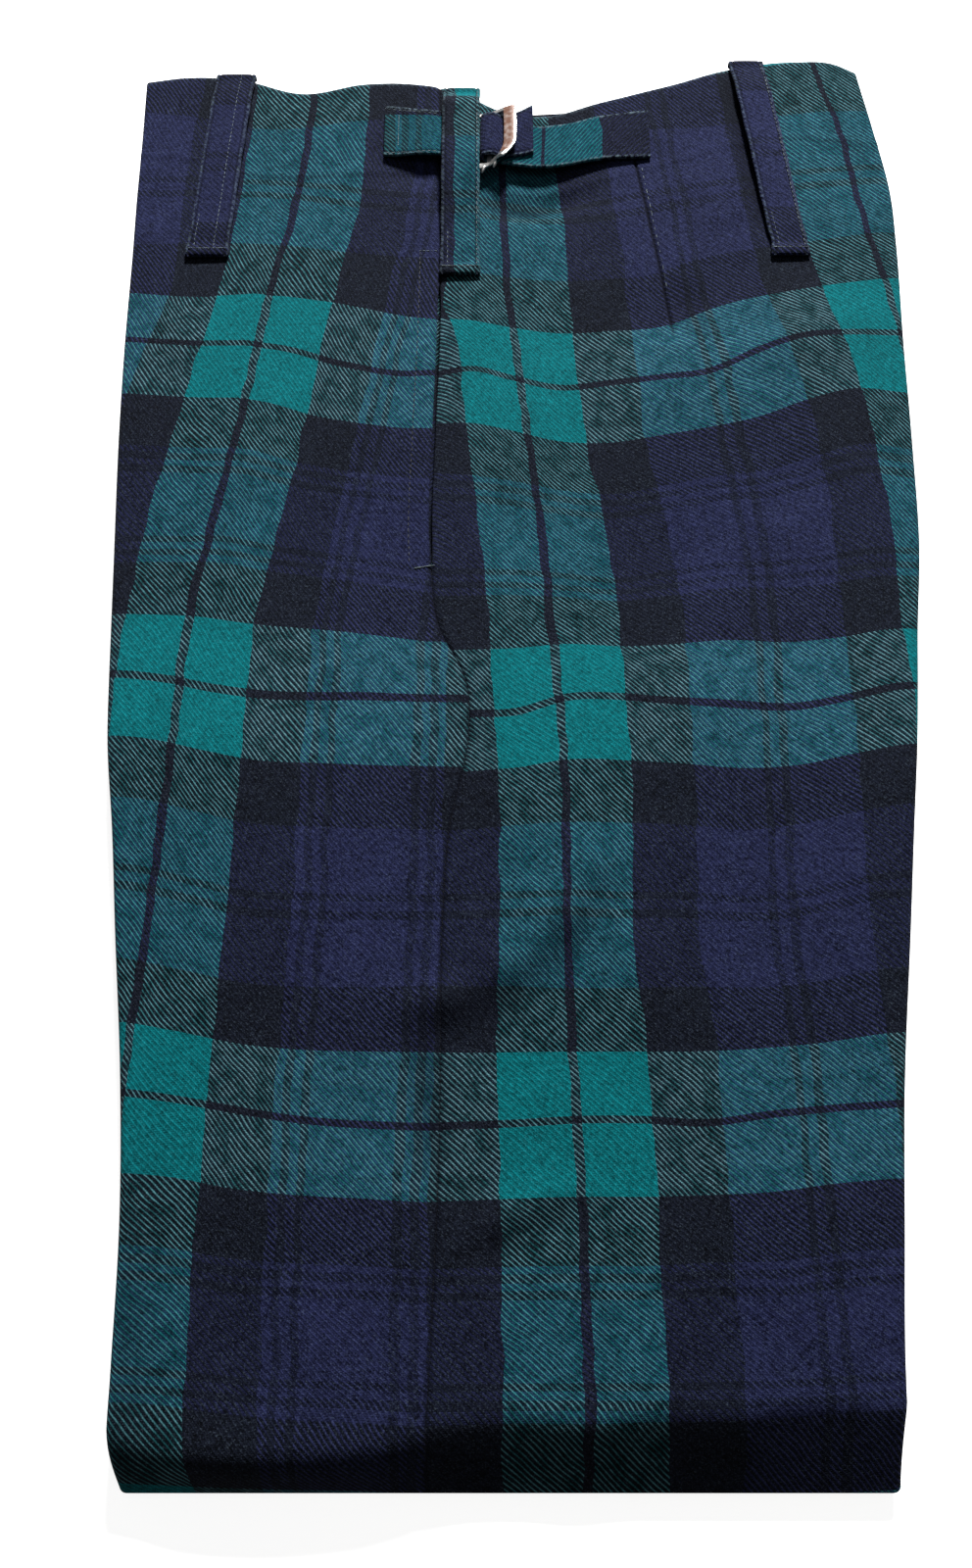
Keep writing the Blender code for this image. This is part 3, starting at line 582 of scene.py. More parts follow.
front_edge = column_of(SECTIONS, "along", "front")
back_edge = column_of(SECTIONS, "along", "back")
side_seam = column_of(SECTIONS, "along", "seam")
edge_height = column_of(SECTIONS, "along", "height")
waist_edge = column_of(WAIST_EDGE, "across", "along")
facing_edge = column_of(FACING_EDGE, "across", "along")
bend_begin = smooth_through(BEND_PLACES, BEND_BEGINS)
bend_power = smooth_through(BEND_PLACES, BEND_POWERS)


def waved(across, along):
    """A place along the trews, moved so that the last row follows the waist edge."""
    return along + (waist_edge(across) - WAIST_LINE) * ease(along, WAIST_WAVE_FROM, WAIST_LINE)


def unwaved(across, along):
    """The nominal place of a row that the waist wave moves to a place along the trews."""
    nominal = np.asarray(along, float)
    for _ in range(12):
        nominal = nominal + along - waved(across, nominal)
    return np.minimum(nominal, WAIST_LINE)


def fold_rise(folds, across, along):
    """What soft folds add to the height of the upper side."""
    total = 0.0
    for fold in folds:
        run = (fold.across_b - fold.across_a, fold.along_b - fold.along_a)
        place = (across - fold.across_a, along - fold.along_a)
        length = math.hypot(*run)
        t = (place[0] * run[0] + place[1] * run[1]) / length**2
        aside = (place[0] * run[1] - place[1] * run[0]) / length
        taper = ease(t, *FOLD_FADE_IN) * (1 - ease(t, *FOLD_FADE_OUT))
        total = total + fold.rise * taper * bell(aside, fold.half_width)
    return total


def from_middle(across, along):
    """0 in the middle between the front and back edges and 1 at either."""
    front, back = front_edge(along), back_edge(along)
    return np.minimum(np.abs((across - front) / (back - front) * 2 - 1), 1.0)


def upper_height(across, along):
    """Height of the outer face of the upper side over the surface that the trews lie on, as in the solids."""
    middle = from_middle(across, along)
    crown = CROWN * (1 - middle**4) * (1 - CROWN_LESS_AT_WAIST * ease(along, *CROWN_FLATTENS))
    folds = fold_rise(MAIN_FOLDS, across, along) * (1 - middle**8)
    return edge_height(along) + crown + folds


def fine_relief(across, along):
    """Creases and unevenness of the cloth that are too fine for the solids."""
    inside = 1 - from_middle(across, along) ** 8
    soft = sum(uneven.rise * wander(across, along, uneven.wave, uneven.turn) for uneven in UNEVEN_CLOTH)
    return (fold_rise(SMALL_CREASES, across, along) + soft) * inside


def pocket_share(along):
    """1 beside the pocket mouth and 0 away from it."""
    foot, top = (ease(along, *(end + step for step in POCKET_FADE)) for end in (POCKET_FOOT, POCKET_TOP))
    return foot * (1 - top)


def dart_line(along):
    """Where the dart runs."""
    lean = (DART_POINT.across - DART_TOP.across) / (DART_POINT.along - DART_TOP.along)
    return DART_TOP.across + (np.maximum(along, DART_POINT.along) - DART_TOP.along) * lean


def dart_share(along, begins):
    """1 on the dart and 0 past its ends."""
    point = ease(along, *(DART_POINT.along + step for step in begins))
    return point * (1 - ease(along, DART_TOP.along, DART_TOP.along + DART_TOP_FADE))


def wall_thickness(across, along, front):
    """Cloth, doubled by the facing at the waist and by the turned edge of the pocket mouth."""
    faced = ease(along, WAIST_LINE - FACING_DEPTH - FACING_FADE, WAIST_LINE - FACING_DEPTH)
    if front:
        aside = np.abs(across - side_seam(along))
        beside = 1 - ease(aside, POCKET_EDGE_WIDTH * 0.6, POCKET_EDGE_WIDTH)
        faced = np.maximum(faced, beside * pocket_share(along))
    return CLOTH + (FACED_CLOTH - CLOTH) * faced


def roll_radius(along):
    """Radius of the rolled edge: the upper and the lower edge meet where there are only two layers."""
    return min(EDGE_ROLL, float(edge_height(along) - EDGE_MEET_GAP) / 4)


def surface_detail(across, along, front):
    """The lifted edge of the pocket mouth, the sunk edge behind it, the seam's dip and the dart's groove."""
    aside = np.abs(across - side_seam(along))
    beside = (1 - ease(aside, 0, POCKET_EDGE_WIDTH)) * pocket_share(along)
    dip = -SEAM_DIP * (1 - np.clip(aside / SEAM_DIP_WIDTH, 0, 1)) ** 2
    dip = dip * (1 - (1 - POCKET_DIP_LEFT) * pocket_share(along))
    above_facing = waved(across, along) - facing_edge(across)
    ridge = FACING_RIDGE * bell(above_facing - FACING_RIDGE_ABOVE, FACING_RIDGE_WIDTH)
    if front:
        return POCKET_LIFT * beside + dip + ridge
    groove = DART_DEPTH * dart_share(along, DART_GROOVE_BEGINS)
    groove = groove * bell(across - dart_line(along), DART_GROOVE_WIDTH)
    return -POCKET_SINK * beside + dip + ridge - groove


def painted_crease_shade(across, along, front):
    """Painted shade, from 0 to 1, where the cloth turns in along the seam, creases, dart and facing's edge,
    and in the painted shadows of the crease table.
    """
    aside = np.abs(across - side_seam(along))
    seam = SEAM_SHADE.amount * bell(aside, SEAM_SHADE.width)
    seam = np.maximum(seam, fold_rise(PAINTED_SHADOW_FOLDS, across, along))
    above_facing = waved(across, along) - facing_edge(across)
    facing = FACING_SHADE.amount * bell(above_facing, FACING_SHADE.width)
    if front:
        return np.maximum(seam, facing)
    facing = facing * (FACING_SHADE_LEAST + (1 - FACING_SHADE_LEAST) * ease(across, *FACING_SHADE_FULL))
    dart = DART_SHADE.amount * dart_share(along, DART_SHADE_BEGINS)
    dart = dart * bell(across - dart_line(along), DART_SHADE.width)
    return np.maximum(np.maximum(seam, facing), dart)


def check_value(lines, stations, place, station):
    """The check's unit at each place, from where its known lines lie at that station."""
    units = np.array([line.unit for line in lines], float)
    places = np.stack([smooth_through(stations, line.places)(station) for line in lines], axis=-1)
    steps = np.diff(places, axis=-1)
    secants = np.diff(units) / steps
    inner = secants[..., :-1] * steps[..., 1:] + secants[..., 1:] * steps[..., :-1]
    inner = inner / (steps[..., 1:] + steps[..., :-1])
    slopes = np.concatenate([secants[..., :1], inner, secants[..., -1:]], axis=-1)
    result = units[0] + (place - places[..., 0]) * slopes[..., 0]
    for i in range(len(units) - 1):
        t = np.clip((place - places[..., i]) / steps[..., i], 0, 1)
        ends = (slopes[..., i], slopes[..., i + 1])
        known = cubic_between(t, steps[..., i], (units[i], units[i + 1]), ends)
        result = np.where(place >= places[..., i], known, result)
    beyond = units[-1] + (place - places[..., -1]) * slopes[..., -1]
    return np.where(place >= places[..., -1], beyond, result)


def front_check(across, along):
    """The check's place on the front panel, across and along, in units."""
    known = check_value(FRONT_LONG_LINES, FRONT_ALONG_STATIONS, across, along)
    last = smooth_through(FRONT_ALONG_STATIONS, FRONT_LONG_LINES[-1].places)(along)
    warp = np.where(across > last, FRONT_LONG_LINES[-1].unit + (across - last) / UNIT, known)
    return warp, check_value(FRONT_CROSS_LINES, FRONT_STATIONS, along, across)


def back_check(across, along):
    """The check's place on the back panel, across and along, in units."""
    warp = check_value(BACK_LONG_LINES, BACK_ALONG_STATIONS, across, along)
    near = 1 - np.clip((across - side_seam(along)) / POCKET_STRETCH_WIDTH, 0, 1)
    warp = warp + POCKET_STRETCH * near**2 * pocket_share(along)
    return warp, check_value(BACK_CROSS_LINES, BACK_STATIONS, along, across)


def new_piece(name, points, faces, check, material, marks=None):
    """A mesh object from points in millimetres, with the check's place at each point as its UV map.

    Marks are named numbers from 0 to 1 at the points: how much painted shade darkens the cloth, and where it
    frays.
    """
    mesh = bpy.data.meshes.new(name)
    mesh.from_pydata((np.asarray(points, float) * MILLIMETRE).tolist(), [], faces)
    mesh.update()
    mesh.shade_smooth()
    if check is not None:
        corners = np.empty(len(mesh.loops), np.int32)
        mesh.loops.foreach_get("vertex_index", corners)
        places = np.asarray(check, np.float32)[corners]
        mesh.uv_layers.new(name="check").data.foreach_set("uv", places.reshape(-1))
    for label, values in (marks or {}).items():
        values = np.asarray(values, np.float32).reshape(-1)
        mesh.attributes.new(label, "FLOAT", "POINT").data.foreach_set("value", values)
    mesh.materials.append(material)
    thing = bpy.data.objects.new(name, mesh)
    bpy.context.scene.collection.objects.link(thing)
    return thing


def grid_normals(grid):
    """Unit normals of a grid of points, from the lines along and across it."""
    return unit_length(np.cross(np.gradient(grid, axis=1), np.gradient(grid, axis=0)))


def wall_from_grid(name, outer, thickness, check, marks, material, flip):
    """A closed wall: the outer grid of points, and the same grid moved in by the cloth's thickness."""
    normals = grid_normals(outer) * (-1 if flip else 1)
    inner = outer - normals * thickness[..., None]
    across = outer[..., 0]
    least, most = (reach(axis=1, keepdims=True) for reach in (across.min, across.max))
    inner[..., 0] = np.clip(inner[..., 0], least, most)
    rows, columns = outer.shape[:2]
    count = rows * columns
    points = np.concatenate([outer.reshape(-1, 3), inner.reshape(-1, 3)])
    corner = np.arange(count).reshape(rows, columns)
    quads = np.stack([corner[:-1, :-1], corner[:-1, 1:], corner[1:, 1:], corner[1:, :-1]], axis=-1)
    quads = quads.reshape(-1, 4)
    rim = np.concatenate([corner[0, :], corner[1:, -1], corner[-1, -2::-1], corner[-2:0:-1, 0]])
    after = np.roll(rim, -1)
    edge = np.stack([after, rim, count + rim, count + after], axis=-1)
    faces = np.concatenate([quads, quads[:, ::-1] + count, edge])
    if flip:
        faces = faces[:, ::-1]
    both = np.concatenate([check.reshape(-1, 2), check.reshape(-1, 2)])
    marks = {label: np.concatenate([values.reshape(-1)] * 2) for label, values in marks.items()}
    return new_piece(name, points, faces.tolist(), both, material, marks)


Row = namedtuple("Row", "along turn under")


def left_rows():
    """Rows of a left panel, from the waist over the knee fold and back under to the hem."""
    edge = [WAIST_LINE - drop for drop in WAIST_ROW_DROPS]
    start = FOLD_END + FOLD_REACH_ABOVE
    count = int((edge[-1] - start) / ROW_STEP)
    top = edge + list(np.linspace(edge[-1], start, count + 1)[1:-1])
    rows = [Row(along, 0, False) for along in top]
    rows += [Row(None, turn, False) for turn in np.arange(0, 180.1, FOLD_STEP_DEGREES)]
    under_start = FOLD_END + FOLD_REACH_BELOW
    under = np.linspace(under_start, HEM_LINE, int((HEM_LINE - under_start) / UNDER_STEP) + 1)[1:]
    return rows + [Row(along, 180, True) for along in under]


def right_rows():
    """Rows of a right panel, on the underside between the hem line and the waist."""
    start = HEM_LINE + SEAM_GAP
    places = np.linspace(start, WAIST_LINE, int((WAIST_LINE - start) / UNDER_STEP) + 1)
    return [Row(along, 180, True) for along in places]


def row_place(row, across, front):
    """(y, z) of the outer face at places across a row, and the (y, z) direction that it looks in."""
    turn = math.radians(row.turn)
    facing = (-math.sin(turn), math.cos(turn))
    if row.along is not None and not row.under:
        edge = 1 - np.clip((WAIST_LINE - row.along) / WAIST_EDGE_WIDTH, 0, 1)
        height = upper_height(across, row.along) + fine_relief(across, row.along)
        height = height + surface_detail(across, row.along, front) - WAIST_EDGE_DROP * edge**2
        return waved(across, row.along), height, facing
    if row.along is not None:
        return waved(across, row.along), np.zeros_like(across), facing
    if row.turn <= 90:
        start = FOLD_END + FOLD_REACH_ABOVE
        height = upper_height(across, start) + fine_relief(across, start)
        height = height + surface_detail(across, start, front)
        y = np.full_like(across, start - FOLD_REACH_ABOVE * math.sin(turn))
        begin = bend_begin(across)
        bent = np.clip((math.sin(turn) - begin) / (1 - begin), 0.0, 1.0)
        share = 1 - bent ** bend_power(across)
        return y, FOLD_TIP_HEIGHT + (height - FOLD_TIP_HEIGHT) * share, facing
    start = FOLD_END + FOLD_REACH_BELOW
    y = np.full_like(across, start - FOLD_REACH_BELOW * math.sin(turn))
    return y, np.full_like(across, FOLD_TIP_HEIGHT * (1 + math.cos(turn))), facing


def nominal_along(row):
    """The place whose edges and seam a row follows."""
    if row.along is not None:
        return row.along
    reach = FOLD_REACH_ABOVE if row.turn <= 90 else FOLD_REACH_BELOW
    return FOLD_END + reach * (1 - math.sin(math.radians(row.turn)))


def columns_across(width, columns, dart_reach):
    """How far a row's points lie from the side seam: close together beside the seam and on the dart."""
    if dart_reach is None:
        return np.concatenate([NEAR_SEAM, np.linspace(NEAR_SEAM[-1], width, columns + 1)[1:]])
    on_dart = dart_reach + np.array(NEAR_DART)
    before = np.linspace(NEAR_SEAM[-1], on_dart[0], COLUMNS_BEFORE_DART + 1)[1:-1]
    after = np.linspace(on_dart[-1], width, COLUMNS_AFTER_DART + 1)[1:]
    return np.concatenate([NEAR_SEAM, before, on_dart, after])


def panel(name, rows, front, columns, material):
    """One panel: flat from the side seam to near the edge, then rolled over and tucked under itself.

    Without a number of columns, the panel has the dart.
    """
    side = -1 if front else 1
    edge_at = front_edge if front else back_edge
    grid, thickness, painted_shade, frayed = [], [], [], []
    for row in rows:
        along = nominal_along(row)
        radius = roll_radius(along)
        edge = float(edge_at(along))
        if row.under:
            inset = float(ease(along, FOLD_END, FOLD_END + LOWER_LEG_INSET_REACH))
            edge -= side * LOWER_LEG_INSET * inset
        gap = SEAM_GAP / 2
        if not row.under:
            gap = (POCKET_GAP / 2 + SEAM_OVERLAP) * float(pocket_share(along)) - SEAM_OVERLAP
        start = float(side_seam(along)) + side * gap
        turned_from = edge - side * radius
        width = abs(turned_from - start)
        dart_reach = None if columns else float(dart_line(along)) - start
        reach = columns_across(width, columns, dart_reach)
        across = start + side * reach
        y, z, facing = row_place(row, across, front)
        if row.under and name.startswith("right"):
            y = y - RIGHT_WAIST_INSET * ease(along, RIGHT_WAIST_INSET_FROM, WAIST_LINE)
        line = np.stack([across, y, z], axis=-1)
        turns = np.radians(ROLL_TURNS[1:])
        drop = radius * (1 - np.cos(turns))
        x = turned_from + side * radius * np.sin(turns)
        low_y, low_z = (line[-1, k + 1] - facing[k] * drop for k in (0, 1))
        roll = np.stack([x, low_y, low_z], axis=-1)
        tuck = roll[-1] - np.array([side * EDGE_TUCK, 0, 0])
        grid.append(np.concatenate([line, roll, tuck[None]]))
        walls = wall_thickness(across, along, front and not row.under) * np.ones_like(across)
        rolled = min(CLOTH, radius - ROLL_ROOM)
        walls[-1] = min(walls[-1], rolled)
        thickness.append(np.concatenate([walls, np.full(len(roll) + 1, rolled)]))
        # Painted shade along the seam, creases, dart and facing, on the upper side only
        shaded = painted_crease_shade(across, along, front) if not row.under else np.zeros_like(across)
        painted_shade.append(np.concatenate([shaded, np.zeros(len(roll) + 1)]))
        at_edge = 0.0 if row.along is None else 1 - float(ease(WAIST_LINE - row.along, *WAIST_FRAY))
        frayed.append(np.full(len(line) + len(roll) + 1, at_edge))
    grid = np.array(grid)
    check = panel_check(grid, rows, front, grid.shape[1] - len(ROLL_TURNS))
    marks = {"painted_shade": np.array(painted_shade), "frayed": np.array(frayed)}
    return wall_from_grid(name, grid, np.array(thickness), check, marks, material, flip=not front)


def panel_check(grid, rows, front, flat):
    """The check's place at each point: known where the upper side shows, and carried on round the edges."""
    x, y = grid[..., 0], grid[..., 1]
    place = front_check if front else back_check
    top = np.array([row.along is not None and not row.under for row in rows])
    last_top = int(top.sum()) if top.any() else 0
    if last_top:
        warp, weft = place(x, y)
        steps = np.linalg.norm(np.diff(grid, axis=0), axis=2)
        at_fold = np.arange(len(rows) - 1) < last_top + FOLD_END_ROWS
        steps = steps / np.where(at_fold, FOLD_END_UNIT, UNIT)[:, None]
        travel = np.pad(np.cumsum(steps, axis=0), ((1, 0), (0, 0)))
        weft[last_top:] = weft[last_top] - (travel[last_top:] - travel[last_top])
        warp[last_top:] = warp[last_top]
    else:
        warp, weft = x / UNIT, y / UNIT
    around = np.linalg.norm(np.diff(grid, axis=1), axis=2) / UNIT
    travel = np.pad(np.cumsum(around, axis=1), ((0, 0), (1, 0)))
    side = -1 if front else 1
    warp[:, flat:] = warp[:, flat - 1 : flat] + side * (travel[:, flat:] - travel[:, flat - 1 : flat])
    weft[:, flat:] = weft[:, flat - 1 : flat]
    return np.stack([warp, weft], axis=-1)


def rounded_end(past, reach):
    """1 before the fold begins, falling to nought along a quarter circle."""
    return math.sqrt(max(0.0, 1 - (max(0.0, past) / reach) ** 2))


def loft(name, rings, check, material, marks=None):
    """A closed body through rings of equally many points, with a cap on both ends."""
    rings = np.asarray(rings, float)
    rows, count = rings.shape[:2]
    points = rings.reshape(-1, 3)
    corner = np.arange(rows * count).reshape(rows, count)
    following = np.roll(corner, -1, axis=1)
    quads = np.stack([corner[:-1], corner[1:], following[1:], following[:-1]], axis=-1).reshape(-1, 4)
    first, last = len(points), len(points) + 1
    points = np.concatenate([points, rings[0].mean(axis=0)[None], rings[-1].mean(axis=0)[None]])
    faces = quads.tolist()
    for i in range(count):
        j = (i + 1) % count
        faces.append([first, int(corner[0, i]), int(corner[0, j])])
        faces.append([last, int(corner[-1, j]), int(corner[-1, i])])
    if signed_volume(points, faces) < 0:
        faces = [face[::-1] for face in faces]
    if check is not None:
        check = np.asarray(check, float)
        ends = np.stack([check[0].mean(axis=0), check[-1].mean(axis=0)])
        check = np.concatenate([check.reshape(-1, 2), ends])
    marks = {label: np.append(values, (0.5, 0.5)) for label, values in (marks or {}).items()}
    return new_piece(name, points, faces, check, material, marks)


def signed_volume(points, faces):
    """Six times the volume inside the faces, below nought where they look inwards."""
    fans = [(face[0], face[i], face[i + 1]) for face in faces for i in range(1, len(face) - 1)]
    corners = points[np.array(fans)]
    return float(np.sum(corners[:, 0] * np.cross(corners[:, 1], corners[:, 2])))


def inner_layers(material):
    """The hidden layers of both legs and the seat, as one body whose long edges show the folded layers."""
    flat_inset = 9.0
    lobe_inset = 0.9
    leg_groove, seat_groove = 2.4, 1.2
    waver, waver_length = 0.35, 17.0
    thinnest = 0.8
    begins = 15.0
    opens_from, opens_over = 9.0, FOLD_REACH_ABOVE - 6.0
    lobe_roundness = 0.45
    room_for_lobes, lobes_past_fold = (1.0, 5.0), (1, 14)
    close_step, close_reach, step, last = 1.5, 20.0, 4.0, 263.0
    start_above = FOLD_END + FOLD_REACH_ABOVE
    start_below = FOLD_END + FOLD_REACH_BELOW
    clear_of_wall = CLOTH + LAYER_GAP
    clear_of_roll = 2 * EDGE_ROLL + LAYER_GAP
    lobe_steps = np.linspace(0, 1, 33)
    top_shares = np.linspace(0.02, 0.98, 33)
    under_shares = np.linspace(0.05, 0.95, 13)
    first = FOLD_END + begins
    near_fold = np.arange(first, first + close_reach, close_step)
    stations = np.concatenate([near_fold, np.arange(first + close_reach, last, step)])
    rings, checks = [], []
    for along in stations:
        front, back = float(front_edge(along)), float(back_edge(along))
        half = float(edge_height(along)) / 2
        above = min(1.0, max(0.0, (along - FOLD_END - opens_from) / opens_over))
        below = rounded_end(start_below - along, FOLD_REACH_BELOW - clear_of_wall)
        bottom = half - (half - clear_of_wall) * below
        foot = half - (half - clear_of_roll) * below
        head = half + (half - clear_of_roll) * above
        room = max(head - foot, thinnest)
        foot = half - room / 2
        past_fold = ease(along, *(start_below + step for step in lobes_past_fold))
        reach = float(ease(room, *room_for_lobes) * past_fold)
        lobes = np.abs(np.sin(lobe_steps * math.pi * 2)) ** lobe_roundness
        groove = leg_groove if along < HEM_LINE else seat_groove
        wobble = waver * np.sin(along / waver_length + lobe_steps * 5.0)
        edge = lobe_inset + groove * (1 - lobes) + np.abs(wobble)
        insets = flat_inset + (edge - flat_inset) * reach
        heights = foot + room * lobe_steps
        tops = front + flat_inset + (back - front - 2 * flat_inset) * top_shares
        wall = wall_thickness(tops, along, True) + LAYER_GAP
        dart_room = DART_DEPTH if along > DART_POINT.along - 20 else 0.0
        sunk = POCKET_SINK * float(pocket_share(along)) + dart_room
        surface = upper_height(tops, max(along, start_above))
        top_z = half + (surface - wall - sunk - half) * above
        unders = front + flat_inset + (back - front - 2 * flat_inset) * under_shares
        x = np.concatenate([back - insets, tops[::-1], (front + insets)[::-1], unders])
        z = np.concatenate([heights, top_z[::-1], heights[::-1], np.full(len(unders), bottom)])
        y = waved(x, along)
        ring = np.stack([x, y, z], axis=-1)
        rings.append(ring)
        checks.append(np.stack([travelled(ring) / UNIT, y / UNIT], axis=-1))
    return loft("inner_layers", rings, checks, material)


def panel_top(across, along):
    """Height of the panel's outer face at a real place, as the solids have it."""
    return upper_height(across, unwaved(across, along))


Cut = namedtuple("Cut", "middle across width thickness")
Run = namedtuple("Run", "places middle width thickness across ups")


def ribbon_run(cuts):
    """The smooth run of a strip through its cross-sections."""
    middles = np.array([cut.middle for cut in cuts], float)
    lengths = travelled(middles)
    places = np.linspace(0, lengths[-1], int(lengths[-1] / STRIP_STEP) + 1)
    middle = np.stack([smooth_through(lengths, middles[:, k])(places) for k in range(3)], axis=-1)
    width = smooth_through(lengths, [cut.width for cut in cuts])(places)
    thickness = smooth_through(lengths, [cut.thickness for cut in cuts])(places)
    across = np.array(cuts[0].across, float)
    ups = unit_length(np.cross(unit_length(np.gradient(middle, axis=0)), across))
    return Run(places, middle, width, thickness, across, ups)


def line_on_run(run, inset, side, first, last):
    """A line on a strip's outer face, at one distance from one of its edges."""
    chosen = (run.places >= first) & (run.places <= last)
    aside = side * (run.width[chosen] / 2 - inset)
    up = run.thickness[chosen] / 2 + STRIP_CROWN * (1 - (aside / run.width[chosen] * 2) ** 2)
    return run.middle[chosen] + run.across * aside[:, None] + run.ups[chosen] * up[:, None]


def line_across_run(run, place, reach=0.8):
    """A line across a strip's outer face."""
    k = int(np.argmin(np.abs(run.places - place)))
    asides = np.linspace(-reach, reach, 9) * run.width[k] / 2
    up = run.thickness[k] / 2 + 0.1
    return run.middle[k] + run.across * asides[:, None] + run.ups[k] * up


def ribbon(name, run, material, unit_at, stitch_inset=1.7, fray=1.0, painted_shade_at_start=0.0):
    """A strip of doubled cloth with rounded edges and a stitched groove beside each."""
    corner_turns = np.radians((22, 45, 68, 90))
    near_edge = np.linspace(0.72, 1, 8)
    flat_shares = np.concatenate([-near_edge[::-1], np.linspace(-0.6, 0.6, 9), near_edge])
    rings, checks, frayed, painted_shade = [], [], [], []
    for k, place in enumerate(run.places):
        half, thick = run.width[k] / 2, run.thickness[k] / 2
        corner = min(0.92 * thick, STRIP_CORNER)
        inner = half - corner
        flats = flat_shares * inner
        groove = STRIP_GROOVE * bell(np.abs(flats) - (half - stitch_inset), STRIP_GROOVE_WIDTH)
        face = thick + STRIP_CROWN * (1 - (flats / half) ** 2) - groove
        right_a = inner + corner * np.sin(corner_turns)
        right_u = thick - corner * (1 - np.cos(corner_turns))
        top = np.stack([flats, face], axis=-1)
        right = np.stack([right_a, right_u], axis=-1)
        below = np.stack([right_a[::-1], -right_u[::-1]], axis=-1)
        bottom = np.stack([flats[::-1], -np.full_like(flats, thick)], axis=-1)
        left = np.stack([-right_a, -right_u], axis=-1)
        above = np.stack([-right_a[::-1], right_u[::-1]], axis=-1)
        outline = np.concatenate([top, right, below, bottom, left, above])
        aside = np.abs(outline[:, 0])
        wobble = STRIP_WOBBLE * math.sin(place / STRIP_WOBBLE_WAVE) * (aside > inner)
        spread = outline[:, 0] + np.sign(outline[:, 0]) * wobble
        rings.append(run.middle[k] + run.across * spread[:, None] + run.ups[k] * outline[:, 1:])
        along = np.full(len(outline), unit_at(place))
        checks.append(np.stack([outline[:, 0] / STRIP_UNIT, along], axis=-1))
        at_rim = 1 - STRIP_RIM_LESS * ease(aside, half - STRIP_RIM, half)
        frayed.append(fray * ease(aside, *(half - inset for inset in STRIP_FRAY)) * at_rim)
        # Painted shade in the stitched grooves, and over the start of a strip where asked
        grooved = bell(aside - (half - stitch_inset), STRIP_GROOVE_SHADE.width) * (outline[:, 1] > 0)
        toned_down = painted_shade_at_start * (1 - float(ease(place, *STRIP_PAINTED_SHADE_END)))
        painted_shade.append(np.maximum(STRIP_GROOVE_SHADE.amount * grooved, toned_down))
    marks = {"frayed": np.concatenate(frayed), "painted_shade": np.concatenate(painted_shade)}
    return loft(name, rings, checks, material, marks)


def highest_under(loop, across, along):
    """Height of the highest cloth under a belt loop's width."""
    return max(float(panel_top(across + side * loop.width / 2, along)) for side in (-1, 0, 1))


def belt_loop(loop, material):
    """A narrow strip from the waist edge to its turned and tacked foot, standing off in between."""
    top_along = float(waist_edge(loop.top)) - LOOP_TOP_DROP
    cuts = []
    edge_floor = float(panel_top(loop.top, top_along))
    for past, drop in LOOP_TOP_TURN:
        height = edge_floor + SEAM_GAP + LOOP_THICKNESS / 2 - drop
        cuts.append(Cut((loop.top, top_along + past, height), (1, 0, 0), loop.width, LOOP_THICKNESS))
    for share in LOOP_SHARES:
        along = top_along + (loop.foot_along + LOOP_FOOT_LENGTH - top_along) * share
        across = loop.top + (loop.foot - loop.top) * share
        rise = loop.rise * float(ease(share, *LOOP_RISES) * (1 - ease(share, *LOOP_SINKS)))
        floor = highest_under(loop, across, along)
        middle = (across, along, floor + SEAM_GAP + rise + LOOP_THICKNESS / 2)
        cuts.append(Cut(middle, (1, 0, 0), loop.width, LOOP_THICKNESS))
    for share, thick in LOOP_FOOT_FOLD:
        along = loop.foot_along + LOOP_FOOT_LENGTH * (1 - share)
        height = highest_under(loop, loop.foot, along) + SEAM_GAP + thick / 2 + 0.1
        width = loop.width + (LOOP_FOOT_EXTRA_WIDTH if share > 0 else 0.0)
        cuts.append(Cut((loop.foot, along, height), (1, 0, 0), width, thick))
    run = ribbon_run(cuts)

    def unit_at(travelled):
        return loop.first_unit + travelled / STRIP_UNIT

    # The loop's top gets painted shade where it turns over the waist edge
    piece = ribbon(loop.name + "_cloth", run, material, unit_at, fray=LOOP_FRAY, painted_shade_at_start=LOOP_TOP_PAINTED_SHADE)
    return piece, run


def slide_height(across):
    """Height of the slide's underside: it is bowed, and its front bar stands higher than its back bar."""
    share = np.clip((across - SLIDE_BACK_END) / SLIDE_LENGTH, 0.0, 1.0)
    return SLIDE_BACK_RAISED + (SLIDE_FRONT_RAISED - SLIDE_BACK_RAISED) * share**1.5


def strap_cuts(table):
    """The cross-sections of a strap where it lies over the panel."""
    cuts = []
    for point in table:
        edges = (point.along - point.width / 2, point.along + point.width / 2)
        floor = max(float(panel_top(point.across, edge)) for edge in edges)
        height = floor + point.raised + STRAP_CLOTH / 2
        cuts.append(Cut((point.across, point.along, height), (0, 1, 0), point.width, STRAP_CLOTH))
    return cuts


def turn_round_bar(bar_middle, inward, degrees, width):
    """Cross-sections of a strap's turn round one bar of the slide."""
    clear = SEAM_GAP + STRAP_CLOTH / 2
    under = float(slide_height(bar_middle - SLIDE_BAR / 2)) - clear
    over = float(slide_height(bar_middle + SLIDE_BAR / 2)) + SLIDE_METAL + SLIDE_BOW + clear
    radius = (over - under) / 2
    cuts = []
    for turn in degrees:
        angle = math.radians(turn)
        x = bar_middle + inward + BAR_TURN_STRETCH * radius * math.cos(angle)
        z = (over + under) / 2 + radius * math.sin(angle)
        cuts.append(Cut((x, SLIDE_MIDDLE, z), (0, 1, 0), width, STRAP_CLOTH))
    return cuts


